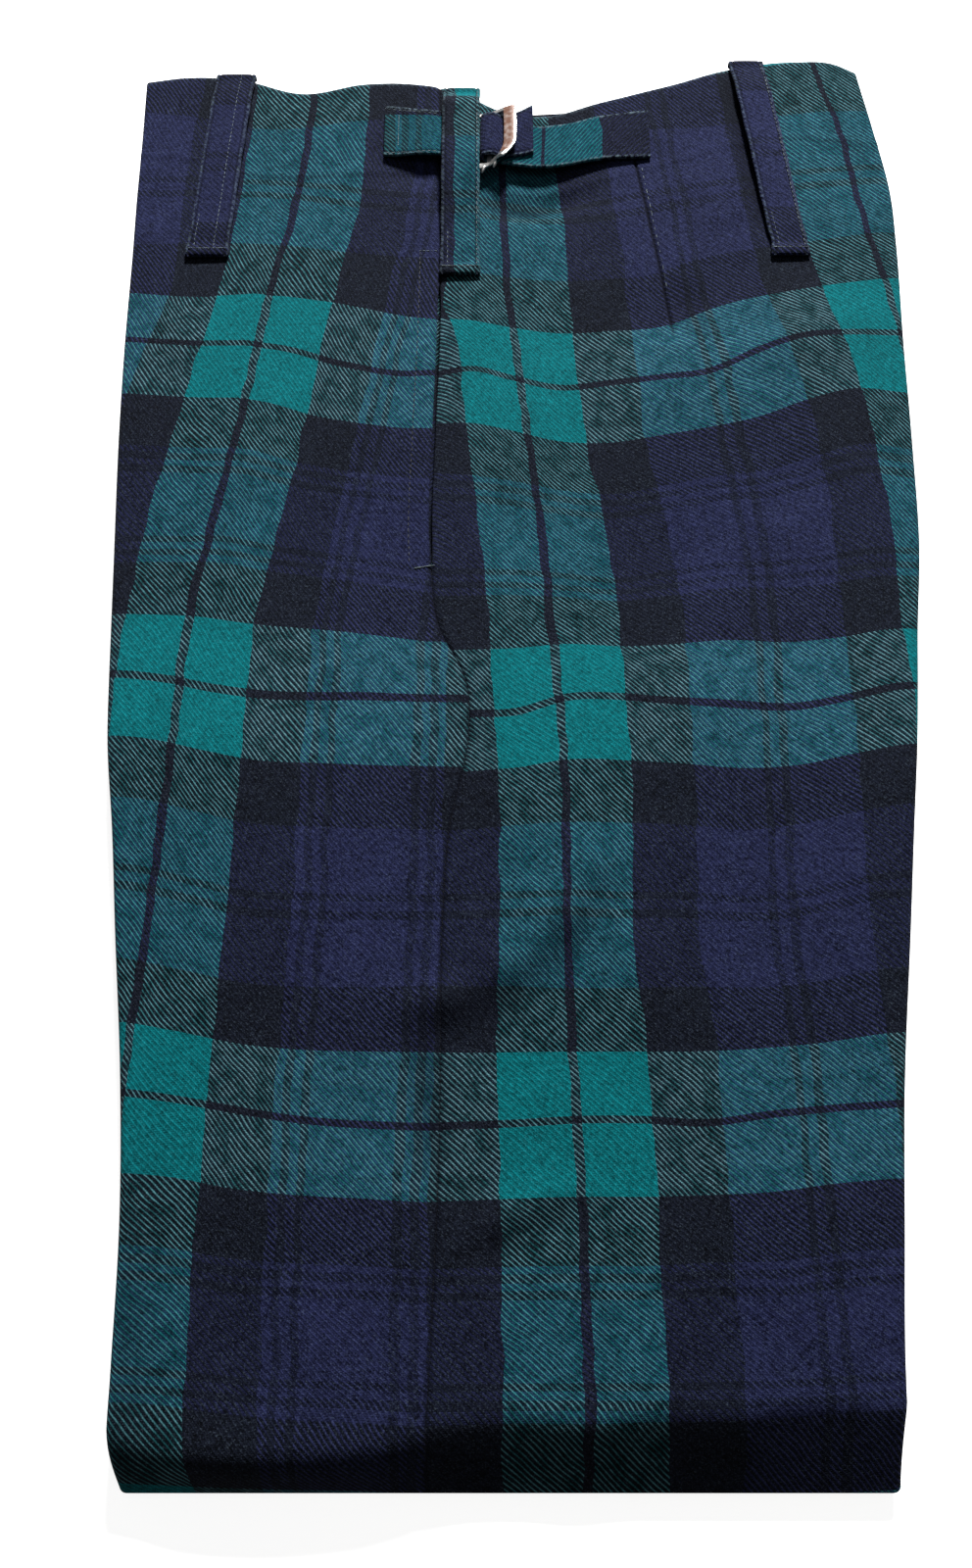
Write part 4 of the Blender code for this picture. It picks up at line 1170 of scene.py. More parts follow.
def adjuster_strap(material):
    """The strap from the back panel, whose end turns round the slide's middle bar and under its front bar."""
    width = BACK_STRAP[-1].width
    middle_bar = SLIDE_BACK_END + SLIDE_BAR_PITCH + SLIDE_BAR / 2
    cuts = strap_cuts(BACK_STRAP)
    cuts += turn_round_bar(middle_bar, -BAR_TURN_INWARD, STRAP_TURN, width)
    front_bar = SLIDE_BACK_END + SLIDE_LENGTH - SLIDE_FRONT_BAR
    under = float(slide_height(front_bar)) - SEAM_GAP - STRAP_CLOTH / 2
    start = cuts[-1].middle
    drop = start[2] - under
    for share, aside in TAIL_RUN:
        x = start[0] + (front_bar - start[0]) * share
        z = start[2] - drop * float(ease(share, TAIL_DROPS_FROM, 1))
        cuts.append(Cut((x, SLIDE_MIDDLE + TAIL_ASIDE * aside, z), (0, 1, 0), width, STRAP_CLOTH))
    for share in (0.5, 1.0):
        x = front_bar + (TAIL_END - front_bar) * share
        leaned = TAIL_LEAN * max(0.0, share - TAIL_LEANS_FROM)
        tail_width = width + TAIL_EXTRA_WIDTH * share
        place = (x, SLIDE_MIDDLE + TAIL_ASIDE + leaned, under + TAIL_RISE * share)
        cuts.append(Cut(place, (0, 1, 0), tail_width, STRAP_CLOTH))

    def unit_at(travelled):
        return float(np.interp(travelled, STRAP_TRAVEL, STRAP_UNITS))

    run = ribbon_run(cuts)
    return ribbon("adjuster_strap_cloth", run, material, unit_at), run


def adjuster_chape(material):
    """The short front strap, which passes under the side belt loop and holds the slide by its back bar."""
    width = BACK_STRAP[-1].width
    turn = turn_round_bar(SLIDE_BACK_END + SLIDE_BAR / 2, BAR_TURN_INWARD, CHAPE_TURN, width)
    before = tuple(place + step for place, step in zip(turn[0].middle, CHAPE_LEAD))
    lead = Cut(before, (0, 1, 0), width + CHAPE_LEAD_EXTRA_WIDTH, STRAP_CLOTH)
    bottom = turn[-1].middle
    end = Cut((bottom[0] - CHAPE_END, bottom[1], bottom[2]), (0, 1, 0), width, STRAP_CLOTH)
    cuts = strap_cuts(CHAPE_STRAP) + [lead] + turn + [end]

    def unit_at(travelled):
        return CHAPE_FIRST_UNIT + travelled / STRIP_UNIT

    run = ribbon_run(cuts)
    return ribbon("adjuster_chape_cloth", run, material, unit_at), run


def rounded_rod(path, radius, sides=10):
    """Points and faces of a closed rod along a path."""
    runs = unit_length(np.gradient(path, axis=0))
    aside = unit_length(np.cross(runs, (0.0, 0.0, 1.0)))
    ups = np.cross(aside, runs)
    angles = np.linspace(0, 2 * math.pi, sides, endpoint=False)
    shares = np.ones(len(path))
    shares[[0, -1]] = ROD_END_SHARE
    ring = np.cos(angles)[None, :, None] * aside[:, None] + np.sin(angles)[None, :, None] * ups[:, None]
    points = (path[:, None] + ring * radius * shares[:, None, None]).reshape(-1, 3)
    faces = []
    for i in range(len(path) - 1):
        for k in range(sides):
            a, b = i * sides + k, i * sides + (k + 1) % sides
            faces.append([a, b, b + sides, a + sides])
    faces.append(list(range(sides))[::-1])
    faces.append(list(range(len(points) - sides, len(points))))
    if signed_volume(points, faces) < 0:
        faces = [face[::-1] for face in faces]
    return points, faces


def slide_buckle(material):
    """A three-bar slide: two windows in a bowed plate, with a broad front bar and rounded edges."""
    left = SLIDE_BACK_END
    right = left + SLIDE_LENGTH
    bar = left + SLIDE_BAR_PITCH
    front_bar = right - SLIDE_FRONT_BAR
    xs = [left, left + SLIDE_BAR, bar, bar + SLIDE_BAR, front_bar]
    xs += [front_bar + SLIDE_FRONT_BAR * share for share in SLIDE_FACE_COLUMNS]
    low = SLIDE_LOW_END
    high = low + SLIDE_HEIGHT
    ys = [low] + list(np.linspace(low + SLIDE_RAIL, high - SLIDE_RAIL, 15)) + [high]
    columns, lines = len(xs) - 1, len(ys) - 1

    def is_metal(i, j):
        if not (0 <= i < columns and 0 <= j < lines):
            return False
        return j in (0, lines - 1) or i in (0, 2) or i >= 4

    def outline(x, y):
        aside = SLIDE_CORNER * max(0.0, (SLIDE_CORNER_FROM - y) / (SLIDE_CORNER_FROM - low)) ** 2
        if y > SLIDE_CORNER_FROM:
            aside += 0.9 * ((y - SLIDE_MIDDLE - 3) / (SLIDE_HEIGHT / 2)) ** 2
        share = float(ease(x, bar, right))
        swept = SLIDE_SWEEP * float(ease(-x, 1.0, 13.0)) * float(ease(-y, -(low + 6), -low))
        return x - aside * share, y - swept

    def height(x, y, top):
        bow = SLIDE_BOW * (1 - ((y - SLIDE_MIDDLE) / (SLIDE_HEIGHT / 2)) ** 2)
        on_face = 1.0 if front_bar - 0.01 < x < right - 0.5 else 0.0
        crown = SLIDE_FACE_RISE * on_face if top else 0.0
        return float(slide_height(x)) + bow + crown + (SLIDE_METAL if top else 0.0)

    index, points, faces = {}, [], []

    def corner(i, j, top):
        if (i, j, top) not in index:
            index[i, j, top] = len(points)
            points.append((*outline(xs[i], ys[j]), height(xs[i], ys[j], top)))
        return index[i, j, top]

    for i in range(columns):
        for j in range(lines):
            if not is_metal(i, j):
                continue
            ring = [(i, j), (i + 1, j), (i + 1, j + 1), (i, j + 1)]
            faces.append([corner(a, b, True) for a, b in ring])
            faces.append([corner(a, b, False) for a, b in reversed(ring)])
            for k, (a, b) in enumerate(((i, j - 1), (i + 1, j), (i, j + 1), (i - 1, j))):
                if is_metal(a, b):
                    continue
                p, q = ring[k], ring[(k + 1) % 4]
                faces.append([corner(*p, False), corner(*q, False), corner(*q, True), corner(*p, True)])
    points = np.array(points)
    if signed_volume(points, faces) < 0:
        faces = [face[::-1] for face in faces]
    rim = []
    for x, y in [(right, y) for y in ys[::-1]] + [(x, low) for x in np.linspace(right - 1.0, bar + 1.0, 9)]:
        rim.append((*outline(x, y), height(x, y, False) + SLIDE_METAL * 0.75))
    rim_points, rim_faces = rounded_rod(np.array(rim), SLIDE_RIM)
    faces += [[len(points) + k for k in face] for face in rim_faces]
    points = np.concatenate([points, rim_points])
    for place, size in SLIDE_TEETH:
        tooth_points, tooth_faces = rounded_rod(np.array(place, float), size)
        faces += [[len(points) + k for k in face] for face in tooth_faces]
        points = np.concatenate([points, tooth_points])
    piece = new_piece("waist_slide_buckle_metal", points, faces, None, material)
    bevel = piece.modifiers.new("rounded_edges", "BEVEL")
    bevel.width = SLIDE_BEVEL * MILLIMETRE
    bevel.segments = 3
    bevel.limit_method = "ANGLE"
    bevel.angle_limit = math.radians(SLIDE_BEVEL_FROM)
    return piece


class Amount:
    """What a node puts out. A sum, product or limit of it is one more Math node of the same tree."""

    def __init__(self, tree, socket):
        self.tree = tree
        self.socket = socket

    def __add__(self, other):
        return calc(self.tree, "ADD", self, other)

    def __sub__(self, other):
        return calc(self.tree, "SUBTRACT", self, other)

    def __rsub__(self, other):
        return calc(self.tree, "SUBTRACT", other, self)

    def __mul__(self, other):
        return calc(self.tree, "MULTIPLY", self, other)

    def __truediv__(self, other):
        return calc(self.tree, "DIVIDE", self, other)

    def __mod__(self, other):
        return calc(self.tree, "FLOORED_MODULO", self, other)

    def __pow__(self, other):
        return calc(self.tree, "POWER", self, other)

    def __lt__(self, other):
        return calc(self.tree, "LESS_THAN", self, other)

    def __gt__(self, other):
        return calc(self.tree, "GREATER_THAN", self, other)

    def at_least(self, other):
        return calc(self.tree, "MAXIMUM", self, other)

    def at_most(self, other):
        return calc(self.tree, "MINIMUM", self, other)


def feed(tree, socket, value):
    """Links another node's output into a socket, or sets its value."""
    value = getattr(value, "socket", value)
    if hasattr(value, "is_output"):
        tree.links.new(value, socket)
    else:
        socket.default_value = value


def calc(tree, operation, first, second=0.0):
    """What one Math node works out."""
    node = tree.nodes.new("ShaderNodeMath")
    node.operation = operation
    feed(tree, node.inputs[0], first)
    feed(tree, node.inputs[1], second)
    return Amount(tree, node.outputs[0])


def add_node(tree, kind, settings=(), **inputs):
    """One node, with its settings made and its named inputs set or linked."""
    node = tree.nodes.new(kind)
    for label, value in settings:
        setattr(node, label, value)
    for label, value in inputs.items():
        feed(tree, node.inputs[label.replace("_", " ")], value)
    return node


def from_node(tree, kind, output, settings=(), **inputs):
    """What one new node puts out under a name."""
    return Amount(tree, add_node(tree, kind, settings, **inputs).outputs[output])


def group_tree(name, inputs, outputs):
    """A shader node group with named number inputs and named outputs, and what its inputs give."""
    tree = bpy.data.node_groups.new(name, "ShaderNodeTree")
    for label, value in inputs:
        socket = tree.interface.new_socket(name=label, in_out="INPUT", socket_type="NodeSocketFloat")
        socket.default_value = value
    for label, kind in outputs:
        tree.interface.new_socket(name=label, in_out="OUTPUT", socket_type=kind)
    start = tree.nodes.new("NodeGroupInput")
    given = {label: Amount(tree, start.outputs[label]) for label, value in inputs}
    return tree, given, tree.nodes.new("NodeGroupOutput")


def place_group(tree, group, **values):
    """What a group puts out, with its number inputs set or linked."""
    node = add_node(tree, "ShaderNodeGroup", [("node_tree", group)], **values)
    return {socket.name: Amount(tree, socket) for socket in node.outputs}


def blend_colour(tree, factor, first, second, kind="MIX"):
    """The colour output of one Mix node."""
    settings = [("data_type", "RGBA"), ("blend_type", kind)]
    return from_node(tree, "ShaderNodeMix", "Result", settings, Factor=factor, A=first, B=second)


def shaded(tree, colour, share):
    """A colour multiplied by one number."""
    grey = from_node(tree, "ShaderNodeCombineColor", "Color", Red=share, Green=share, Blue=share)
    return blend_colour(tree, 1.0, colour, grey, "MULTIPLY")


def channel_of(tree, colour, channel):
    """The red, green or blue of a colour."""
    return from_node(tree, "ShaderNodeSeparateColor", channel, Color=colour)


def noise(tree, vector, scale, detail=2.0, roughness=0.5, flat=False):
    """The value of one Noise Texture."""
    settings = [("noise_dimensions", "2D" if flat else "3D")]
    return from_node(tree, "ShaderNodeTexNoise", "Fac", settings, Vector=vector, Scale=scale, Detail=detail,
                     Roughness=roughness)


def object_place(tree):
    """The place on the piece, in its own coordinates."""
    return from_node(tree, "ShaderNodeTexCoord", "Object")


def place_parts(tree, vector):
    """The first two parts of a place."""
    parts = add_node(tree, "ShaderNodeSeparateXYZ", Vector=vector)
    return Amount(tree, parts.outputs["X"]), Amount(tree, parts.outputs["Y"])


def add_bump(tree, shader, height, strength, distance):
    """Gives a surface a fine relief, with its depth in millimetres."""
    depth = distance * MILLIMETRE
    normal = from_node(tree, "ShaderNodeBump", "Normal", Strength=strength, Distance=depth, Height=height)
    feed(tree, shader.inputs["Normal"], normal)


def solid(colour, share=1.0):
    """An opaque colour, multiplied by a share."""
    return (*(share * c for c in colour), 1.0)


def sett_colour_group():
    """The colour of the thread at a place in the check."""
    tree, given, end = group_tree("sett_colour", [("Place", 0.0)], [("Colour", "NodeSocketColor")])
    share = calc(tree, "PINGPONG", given["Place"], HALF_SETT) / HALF_SETT
    ramp = add_node(tree, "ShaderNodeValToRGB", Fac=share)
    ramp.color_ramp.interpolation = "CONSTANT"
    colours = {"blue": NAVY, "midnight": MIDNIGHT, "black": NEAR_BLACK, "green": GREEN}
    reached = 0
    for number, (name, width) in enumerate(SETT):
        if number < 2:
            stop = ramp.color_ramp.elements[number]
            stop.position = reached / HALF_SETT
        else:
            stop = ramp.color_ramp.elements.new(reached / HALF_SETT)
        stop.color = solid(colours[name])
        reached += width
    tree.links.new(ramp.outputs["Color"], end.inputs["Colour"])
    return tree


def woven_check_group(sett):
    """A two-and-two twill of the check: its colour, with painted shade between ridges and painted highlights
    on green crests, and the height of its threads from 0 to 1.
    """
    inputs = [("Across", 0.0), ("Along", 0.0), ("Warp Shift", 0.0), ("Weft Shift", 0.0), ("Lean", 1.0)]
    inputs += [("Depth", 1.0), ("Bleed", 0.3)]
    outputs = [("Colour", "NodeSocketColor"), ("Height", "NodeSocketFloat")]
    tree, given, end = group_tree("woven_check", inputs, outputs)
    x = given["Across"] * THREADS_PER_UNIT
    y = given["Along"] * THREADS_PER_UNIT * given["Lean"]
    cloth_place = from_node(tree, "ShaderNodeCombineXYZ", "Vector", X=x, Y=y)
    x = x + (noise(tree, cloth_place, SWAY_SCALE, 1.0, flat=True) - 0.5) * WALE_SWAY
    crispness = (noise(tree, cloth_place, WORN_SCALE, 2.0, 0.6, flat=True) * 0.9 + 0.5).at_most(1.0)
    warp_thread = calc(tree, "FLOOR", x)
    weft_thread = calc(tree, "FLOOR", y)
    diagonal = x + y - 1.5
    warp_on_top = (diagonal + 1.0) % TWILL_REPEAT < TWILL_REPEAT / 2
    weft_on_top = 1.0 - warp_on_top

    def thread_colour(thread, sign, shift):
        place = (thread + 0.5) / THREADS_PER_UNIT * sign + shift
        return place_group(tree, sett, Place=place)["Colour"]

    def float_height(thread, other, here, offset):
        share = (thread + other) % TWILL_REPEAT / (TWILL_REPEAT / 2) - offset
        length = calc(tree, "SINE", share * math.pi).at_least(0.0) ** FLOAT_END_ROUNDING
        width = calc(tree, "SINE", calc(tree, "FRACT", here) * math.pi).at_least(0.0)
        return length * width ** FLOAT_SIDE_ROUNDING

    warp_colour = thread_colour(warp_thread, 1.0, given["Warp Shift"])
    weft_colour = thread_colour(weft_thread, given["Lean"], given["Weft Shift"])
    warp_height = float_height(warp_thread, y, x, 0.0)
    weft_height = float_height(weft_thread, x, y, 1.0) * WEFT_LOWER
    floats = warp_height * warp_on_top + weft_height * weft_on_top
    top_colour = blend_colour(tree, warp_on_top, weft_colour, warp_colour)
    wale = calc(tree, "COSINE", diagonal * (2 * math.pi / TWILL_REPEAT)) * 0.5 + 0.5
    ridge = (wale * warp_on_top + (1.0 - wale) * weft_on_top) * crispness

    distance = add_node(tree, "ShaderNodeVectorMath", [("operation", "DISTANCE")])
    feed(tree, distance.inputs[0], warp_colour)
    feed(tree, distance.inputs[1], weft_colour)
    apart = Amount(tree, distance.outputs["Value"])
    crossing = (apart * 8.0).at_most(1.0)
    mixed = crossing * given["Depth"]
    is_green = channel_of(tree, top_colour, "Green") > GREEN_FROM
    blueness = channel_of(tree, warp_colour, "Blue").at_most(channel_of(tree, weft_colour, "Blue"))
    blueness = (blueness / NAVY[2]).at_most(1.0)

    # Painted shade between the ridges where two colours cross, and on the green floats there
    floor = blueness * BLUE_TROUGH + TROUGH
    flank = (1.0 - floor - ridge ** RIDGE_ROUNDING * RIDGE_SHADE).at_least(0.0)
    dimmed = (GREEN_DIMMED - weft_on_top * WEFT_DIMMED_LESS) * is_green * mixed
    deep = shaded(tree, top_colour, (1.0 - mixed * flank) * (1.0 - dimmed))
    bleed = blueness ** 2.0 * given["Bleed"] * crossing * (1.0 - is_green) * (apart > BLEED_FROM)
    deep = blend_colour(tree, bleed, deep, solid(SEA_BLUE))
    # Painted highlights on the crests of green floats where two colours cross
    crest = CREST_HIGHLIGHT_SHARE - blueness * BLUE_CREST_LESS
    over = weft_on_top * WEFT_CREST + WARP_CREST
    pale = (mixed * is_green * ridge ** CREST_ROUNDING * crest * over).at_most(1.0)
    highlight_colour = blend_colour(tree, blueness ** 2.0, solid(CREST_HIGHLIGHT), solid(BLUE_CREST_HIGHLIGHT))
    feed(tree, end.inputs["Colour"], blend_colour(tree, pale, deep, highlight_colour))
    feed(tree, end.inputs["Height"], floats * 0.5 + wale * 0.5)
    return tree


def wool_group():
    """Uneven dye and fuzz: a brightness near 1, pale fibres that stand out, the fuzz's height and tufts."""
    outputs = [(label, "NodeSocketFloat") for label in ("Brightness", "Fibres", "Fuzz", "Tufts")]
    tree, given, end = group_tree("wool_fibres", [("Amount", 1.0)], outputs)
    place = object_place(tree)
    fine = noise(tree, place, 1700.0, 2.0, 0.6)
    fibre = noise(tree, place, 620.0, 2.0, 0.55)
    broad = noise(tree, place, 45.0)
    total = (fine - 0.5) * FINE_UNEVENNESS + (fibre - 0.5) * FIBRE_UNEVENNESS
    total = (total + (broad - 0.5) * BROAD_DYE) * given["Amount"]
    feed(tree, end.inputs["Brightness"], (total + 1.0).at_least(0.15))
    feed(tree, end.inputs["Fibres"], (fine - 0.56).at_least(0.0))
    feed(tree, end.inputs["Fuzz"], fine)
    feed(tree, end.inputs["Tufts"], fibre)
    return tree


def new_material(name, roughness, metallic=0.0):
    """A material with its node tree and its surface shader."""
    material = bpy.data.materials.new(name)
    material.use_nodes = True
    shader = material.node_tree.nodes["Principled BSDF"]
    shader.inputs["Roughness"].default_value = roughness
    shader.inputs["Metallic"].default_value = metallic
    return material, material.node_tree, shader


def tartan(name, groups, warp_shift, weft_shift, lean=1.0, turned=False, shade=1.0, depth=1.0, bleed=0.3):
    """Woollen tartan: the woven check from the piece's UV map, with fibres, fuzz, a soft sheen, painted shade
    between the threads and in marked creases, and a painted light level for the whole piece.
    """
    material, tree, shader = new_material(name, 0.88)
    across, along = place_parts(tree, from_node(tree, "ShaderNodeUVMap", "UV", [("uv_map", "check")]))
    if turned:
        across, along = along, across
    weave = place_group(tree, groups["weave"], Across=across, Along=along, Warp_Shift=warp_shift,
                        Weft_Shift=weft_shift, Lean=lean, Depth=depth, Bleed=bleed)
    wool = place_group(tree, groups["wool"], Amount=1.0)
    # Painted shade between the threads, and a painted light level for the whole piece
    painted_thread_shade = weave["Height"] * 0.75 + 0.57
    on_green = (channel_of(tree, weave["Colour"], "Green") * 12.0).at_most(1.0)
    uneven = (wool["Brightness"] - 1.0) * (1.0 - on_green * GREEN_EVENER)
    colour = shaded(tree, weave["Colour"], painted_thread_shade * (uneven + 1.0) * shade)
    standing = wool["Fibres"] * (FIBRES_SHOW - on_green * GREEN_FIBRES_LESS)
    colour = blend_colour(tree, standing, colour, solid(FIBRE_FUZZ))

    def mark(label):
        return from_node(tree, "ShaderNodeAttribute", "Fac", [("attribute_name", label)])

    # Painted shade: darkens the cloth where the piece's painted shade mark is set
    colour = blend_colour(tree, mark("painted_shade") * PAINTED_SHADE_STRENGTH, colour, solid(PAINTED_SHADE_COLOUR))
    tufts = ((wool["Tufts"] - 0.42) * 3.2).at_least(0.0).at_most(0.85)
    colour = blend_colour(tree, tufts * mark("frayed"), colour, solid(FRAYED_EDGE))
    feed(tree, shader.inputs["Base Color"], colour)
    add_bump(tree, shader, weave["Height"] + wool["Fuzz"] * 0.5, 0.75, 0.25)
    shader.inputs["Sheen Weight"].default_value = 0.02
    shader.inputs["Sheen Roughness"].default_value = 0.4
    shader.inputs["Specular IOR Level"].default_value = 0.04
    return material


def steel(name):
    """Polished steel with fine scratches, and a painted brown reflection in patches on the front bar's face,
    which is less metallic and rougher there.
    """
    material, tree, shader = new_material(name, 0.2, 1.0)
    place = object_place(tree)
    scratches = noise(tree, place, 900.0, 4.0, 0.6)
    toned_down = blend_colour(tree, scratches, solid(STEEL), solid(STEEL, 0.86))
    along_bar, across_bar = place_parts(tree, place)
    low_part = (SLIDE_CORNER_FROM * MILLIMETRE - across_bar).at_least(0.0)
    low_part = low_part / ((SLIDE_CORNER_FROM - SLIDE_LOW_END) * MILLIMETRE)
    straightened = along_bar + low_part ** 2.0 * (SLIDE_CORNER * MILLIMETRE)
    before_edge = straightened < SLIDE_FACE_END * MILLIMETRE
    past_window = straightened > SLIDE_FACE_START * MILLIMETRE
    above_rail = across_bar > (SLIDE_LOW_END + SLIDE_FACE_ABOVE) * MILLIMETRE
    on_face = before_edge * past_window * above_rail
    # Painted reflection: brown in patches on the front bar's face
    reflection_patches = noise(tree, place, 420.0, 3.0) * 0.8 + 0.55
    colour = blend_colour(tree, (on_face * reflection_patches).at_most(1.0), toned_down, solid(BROWN_REFLECTION))
    feed(tree, shader.inputs["Base Color"], colour)
    feed(tree, shader.inputs["Metallic"], 1.0 - on_face * 0.85)
    feed(tree, shader.inputs["Roughness"], scratches * 0.16 + 0.24 + on_face * 0.25)
    add_bump(tree, shader, scratches, 0.15, 0.05)
    return material


def thread_surface(name, colour):
    """Twisted sewing thread."""
    material, tree, shader = new_material(name, 0.7)
    twist = noise(tree, object_place(tree), 2600.0)
    feed(tree, shader.inputs["Base Color"], blend_colour(tree, twist, solid(colour, 0.45), solid(colour)))
    add_bump(tree, shader, twist, 0.4, 0.1)
    return material


def stitching_tree():
    """Geometry nodes that lay uneven stitches along the lines of a mesh."""
    tree = bpy.data.node_groups.new("stitches_along_line", "GeometryNodeTree")
    tree.is_modifier = True
    tree.interface.new_socket(name="Lines", in_out="INPUT", socket_type="NodeSocketGeometry")
    for label in STITCH_SIZES:
        tree.interface.new_socket(name=label, in_out="INPUT", socket_type="NodeSocketFloat")
    tree.interface.new_socket(name="Seed", in_out="INPUT", socket_type="NodeSocketInt")
    tree.interface.new_socket(name="Thread", in_out="INPUT", socket_type="NodeSocketMaterial")
    tree.interface.new_socket(name="Stitches", in_out="OUTPUT", socket_type="NodeSocketGeometry")
    start = tree.nodes.new("NodeGroupInput")
    end = tree.nodes.new("NodeGroupOutput")

    node = partial(add_node, tree)
    curve = node("GeometryNodeMeshToCurve", Mesh=start.outputs["Lines"])
    spaced = node("GeometryNodeResampleCurve", [("mode", "LENGTH")], Curve=curve.outputs["Curve"],
                  Length=start.outputs["Pitch"])
    stitch = node("GeometryNodeMeshUVSphere", Segments=6, Rings=5, Radius=0.5)
    tangent = node("GeometryNodeInputTangent")
    along = node("FunctionNodeAlignRotationToVector", [("axis", "Z")], Vector=tangent.outputs["Tangent"])
    spread = Amount(tree, start.outputs["Unevenness"])
    low = 1.0 - spread
    high = calc(tree, "ADD", 1.0, spread)

    def uneven(size, step):
        seed = Amount(tree, start.outputs["Seed"]) + step
        chance = node("FunctionNodeRandomValue", [("data_type", "FLOAT")], Min=low, Max=high, Seed=seed)
        return Amount(tree, start.outputs[size]) * chance.outputs["Value"]

    size = node("ShaderNodeCombineXYZ", X=uneven("Thickness", 1), Y=uneven("Thickness", 2),
                Z=uneven("Stitch Length", 3))
    laid = node("GeometryNodeInstanceOnPoints", Points=spaced.outputs["Curve"],
                Instance=stitch.outputs["Mesh"], Rotation=along.outputs["Rotation"],
                Scale=size.outputs["Vector"])
    real = node("GeometryNodeRealizeInstances", Geometry=laid.outputs["Instances"])
    dressed = node("GeometryNodeSetMaterial", Geometry=real.outputs["Geometry"])
    tree.links.new(start.outputs["Thread"], dressed.inputs["Material"])
    tree.links.new(dressed.outputs["Geometry"], end.inputs["Stitches"])
    return tree


def stitches(name, lines, tree, thread, sizes, seed):
    """Plain mesh stitches of one thread along lines of points, with sizes in millimetres."""
    points, edges = [], []
    for line in lines:
        first = len(points)
        points += [tuple(float(c) * MILLIMETRE for c in point) for point in line]
        edges += [(k, k + 1) for k in range(first, len(points) - 1)]
    mesh = bpy.data.meshes.new(name + "_lines")
    mesh.from_pydata(points, edges, [])
    thing = bpy.data.objects.new(name, mesh)
    bpy.context.scene.collection.objects.link(thing)
    sewn = thing.modifiers.new("sewn", "NODES")
    sewn.node_group = tree
    values = dict(zip(STITCH_SIZES, sizes))
    values["Seed"] = seed
    values["Thread"] = thread
    for socket in tree.interface.items_tree:
        if socket.in_out == "INPUT" and socket.name in values:
            value = values[socket.name]
            if socket.name in STITCH_SIZES[:3]:
                value = value * MILLIMETRE
            sewn[socket.identifier] = value
    graph = bpy.context.evaluated_depsgraph_get()
    plain = bpy.data.meshes.new_from_object(thing.evaluated_get(graph))
    thing.modifiers.remove(sewn)
    thing.data = plain
    plain.name = name
    plain.materials.clear()
    plain.materials.append(thread)
    plain.polygons.foreach_set("material_index", np.zeros(len(plain.polygons), np.int32))
    plain.shade_smooth()
    return thing


def on_panel(places, front, lift=0.1):
    """A line of points laid on the upper side's cloth."""
    across = np.array([place[0] for place in places], float)
    along = np.array([place[1] for place in places], float)
    nominal = unwaved(across, along)
    height = upper_height(across, nominal) + fine_relief(across, nominal)
    height = height + surface_detail(across, nominal, front) + lift
    return np.stack([across, along, height], axis=-1)


def pocket_topstitching():
    """Where the pocket mouth is topstitched: across its top, then down beside its edge."""
    downs = np.linspace(POCKET_STITCH_TOP - 1.5, POCKET_FOOT + 2, 60)
    beside = [(float(side_seam(along)) - POCKET_STITCH_INSET, along) for along in downs]
    corner = beside[0][0]
    top = [(corner + share * POCKET_STITCH_INSET * 0.85, POCKET_STITCH_TOP) for share in (0.9, 0.6, 0.3, 0.0)]
    return on_panel(top, True), on_panel(beside, True)


def floor_surface(name):
    """A pale floor that throws little light back on the trews."""
    material, tree, shader = new_material(name, 0.7)
    grain = noise(tree, object_place(tree), 60.0, 3.0)
    lighter = tuple(min(c * 1.02, 1.0) for c in PALE_FLOOR)
    seen = from_node(tree, "ShaderNodeLightPath", "Is Camera Ray")
    pale = blend_colour(tree, grain, solid(PALE_FLOOR), solid(lighter))
    feed(tree, shader.inputs["Base Color"], blend_colour(tree, seen, solid(FLOOR_BOUNCE), pale))
    shader.inputs["Emission Color"].default_value = solid(PALE_FLOOR)
    feed(tree, shader.inputs["Emission Strength"], seen * FLOOR_GLOW)
    return material


def studio():
    """Camera, floor and soft lights."""
    view = bpy.data.cameras.new("studio_camera")
    view.lens = CAMERA_FOCAL_LENGTH
    view.sensor_width = CAMERA_SENSOR
    view.clip_start = 0.01
    camera = bpy.data.objects.new("studio_camera", view)
    camera.location = [c * MILLIMETRE for c in CAMERA_PLACE]
    camera.rotation_euler = (math.radians(CAMERA_TILT), 0, 0)
    bpy.context.scene.collection.objects.link(camera)
    bpy.context.scene.camera = camera
    scene = bpy.context.scene
    scene.view_settings.view_transform = "Standard"
    world = bpy.data.worlds.new("studio_world")
    world.use_nodes = True
    background = world.node_tree.nodes["Background"]
    background.inputs["Color"].default_value = solid(SKY)
    background.inputs["Strength"].default_value = SKY_STRENGTH
    scene.world = world
    corners = [(x * FLOOR_HALF, y * FLOOR_HALF, 0.0) for x, y in ((-1, -1), (1, -1), (1, 1), (-1, 1))]
    floor = new_piece("studio_floor", corners, [[0, 1, 2, 3]], None, floor_surface("pale_floor"))
    lamp("key_light", *KEY_LIGHT)
    lamp("fill_light", *FILL_LIGHT)


def lamp(name, place, power, size):
    """A square lamp that looks at the middle of the trews."""
    light = bpy.data.lights.new(name, "AREA")
    light.energy = power
    light.size = size * MILLIMETRE
    thing = bpy.data.objects.new(name, light)
    thing.location = [c * MILLIMETRE for c in place]
    away = np.array(place, float)
    level = math.hypot(away[0], away[1])
    thing.rotation_euler = (math.atan2(level, away[2]), 0, math.atan2(away[0], -away[1]))
    bpy.context.scene.collection.objects.link(thing)


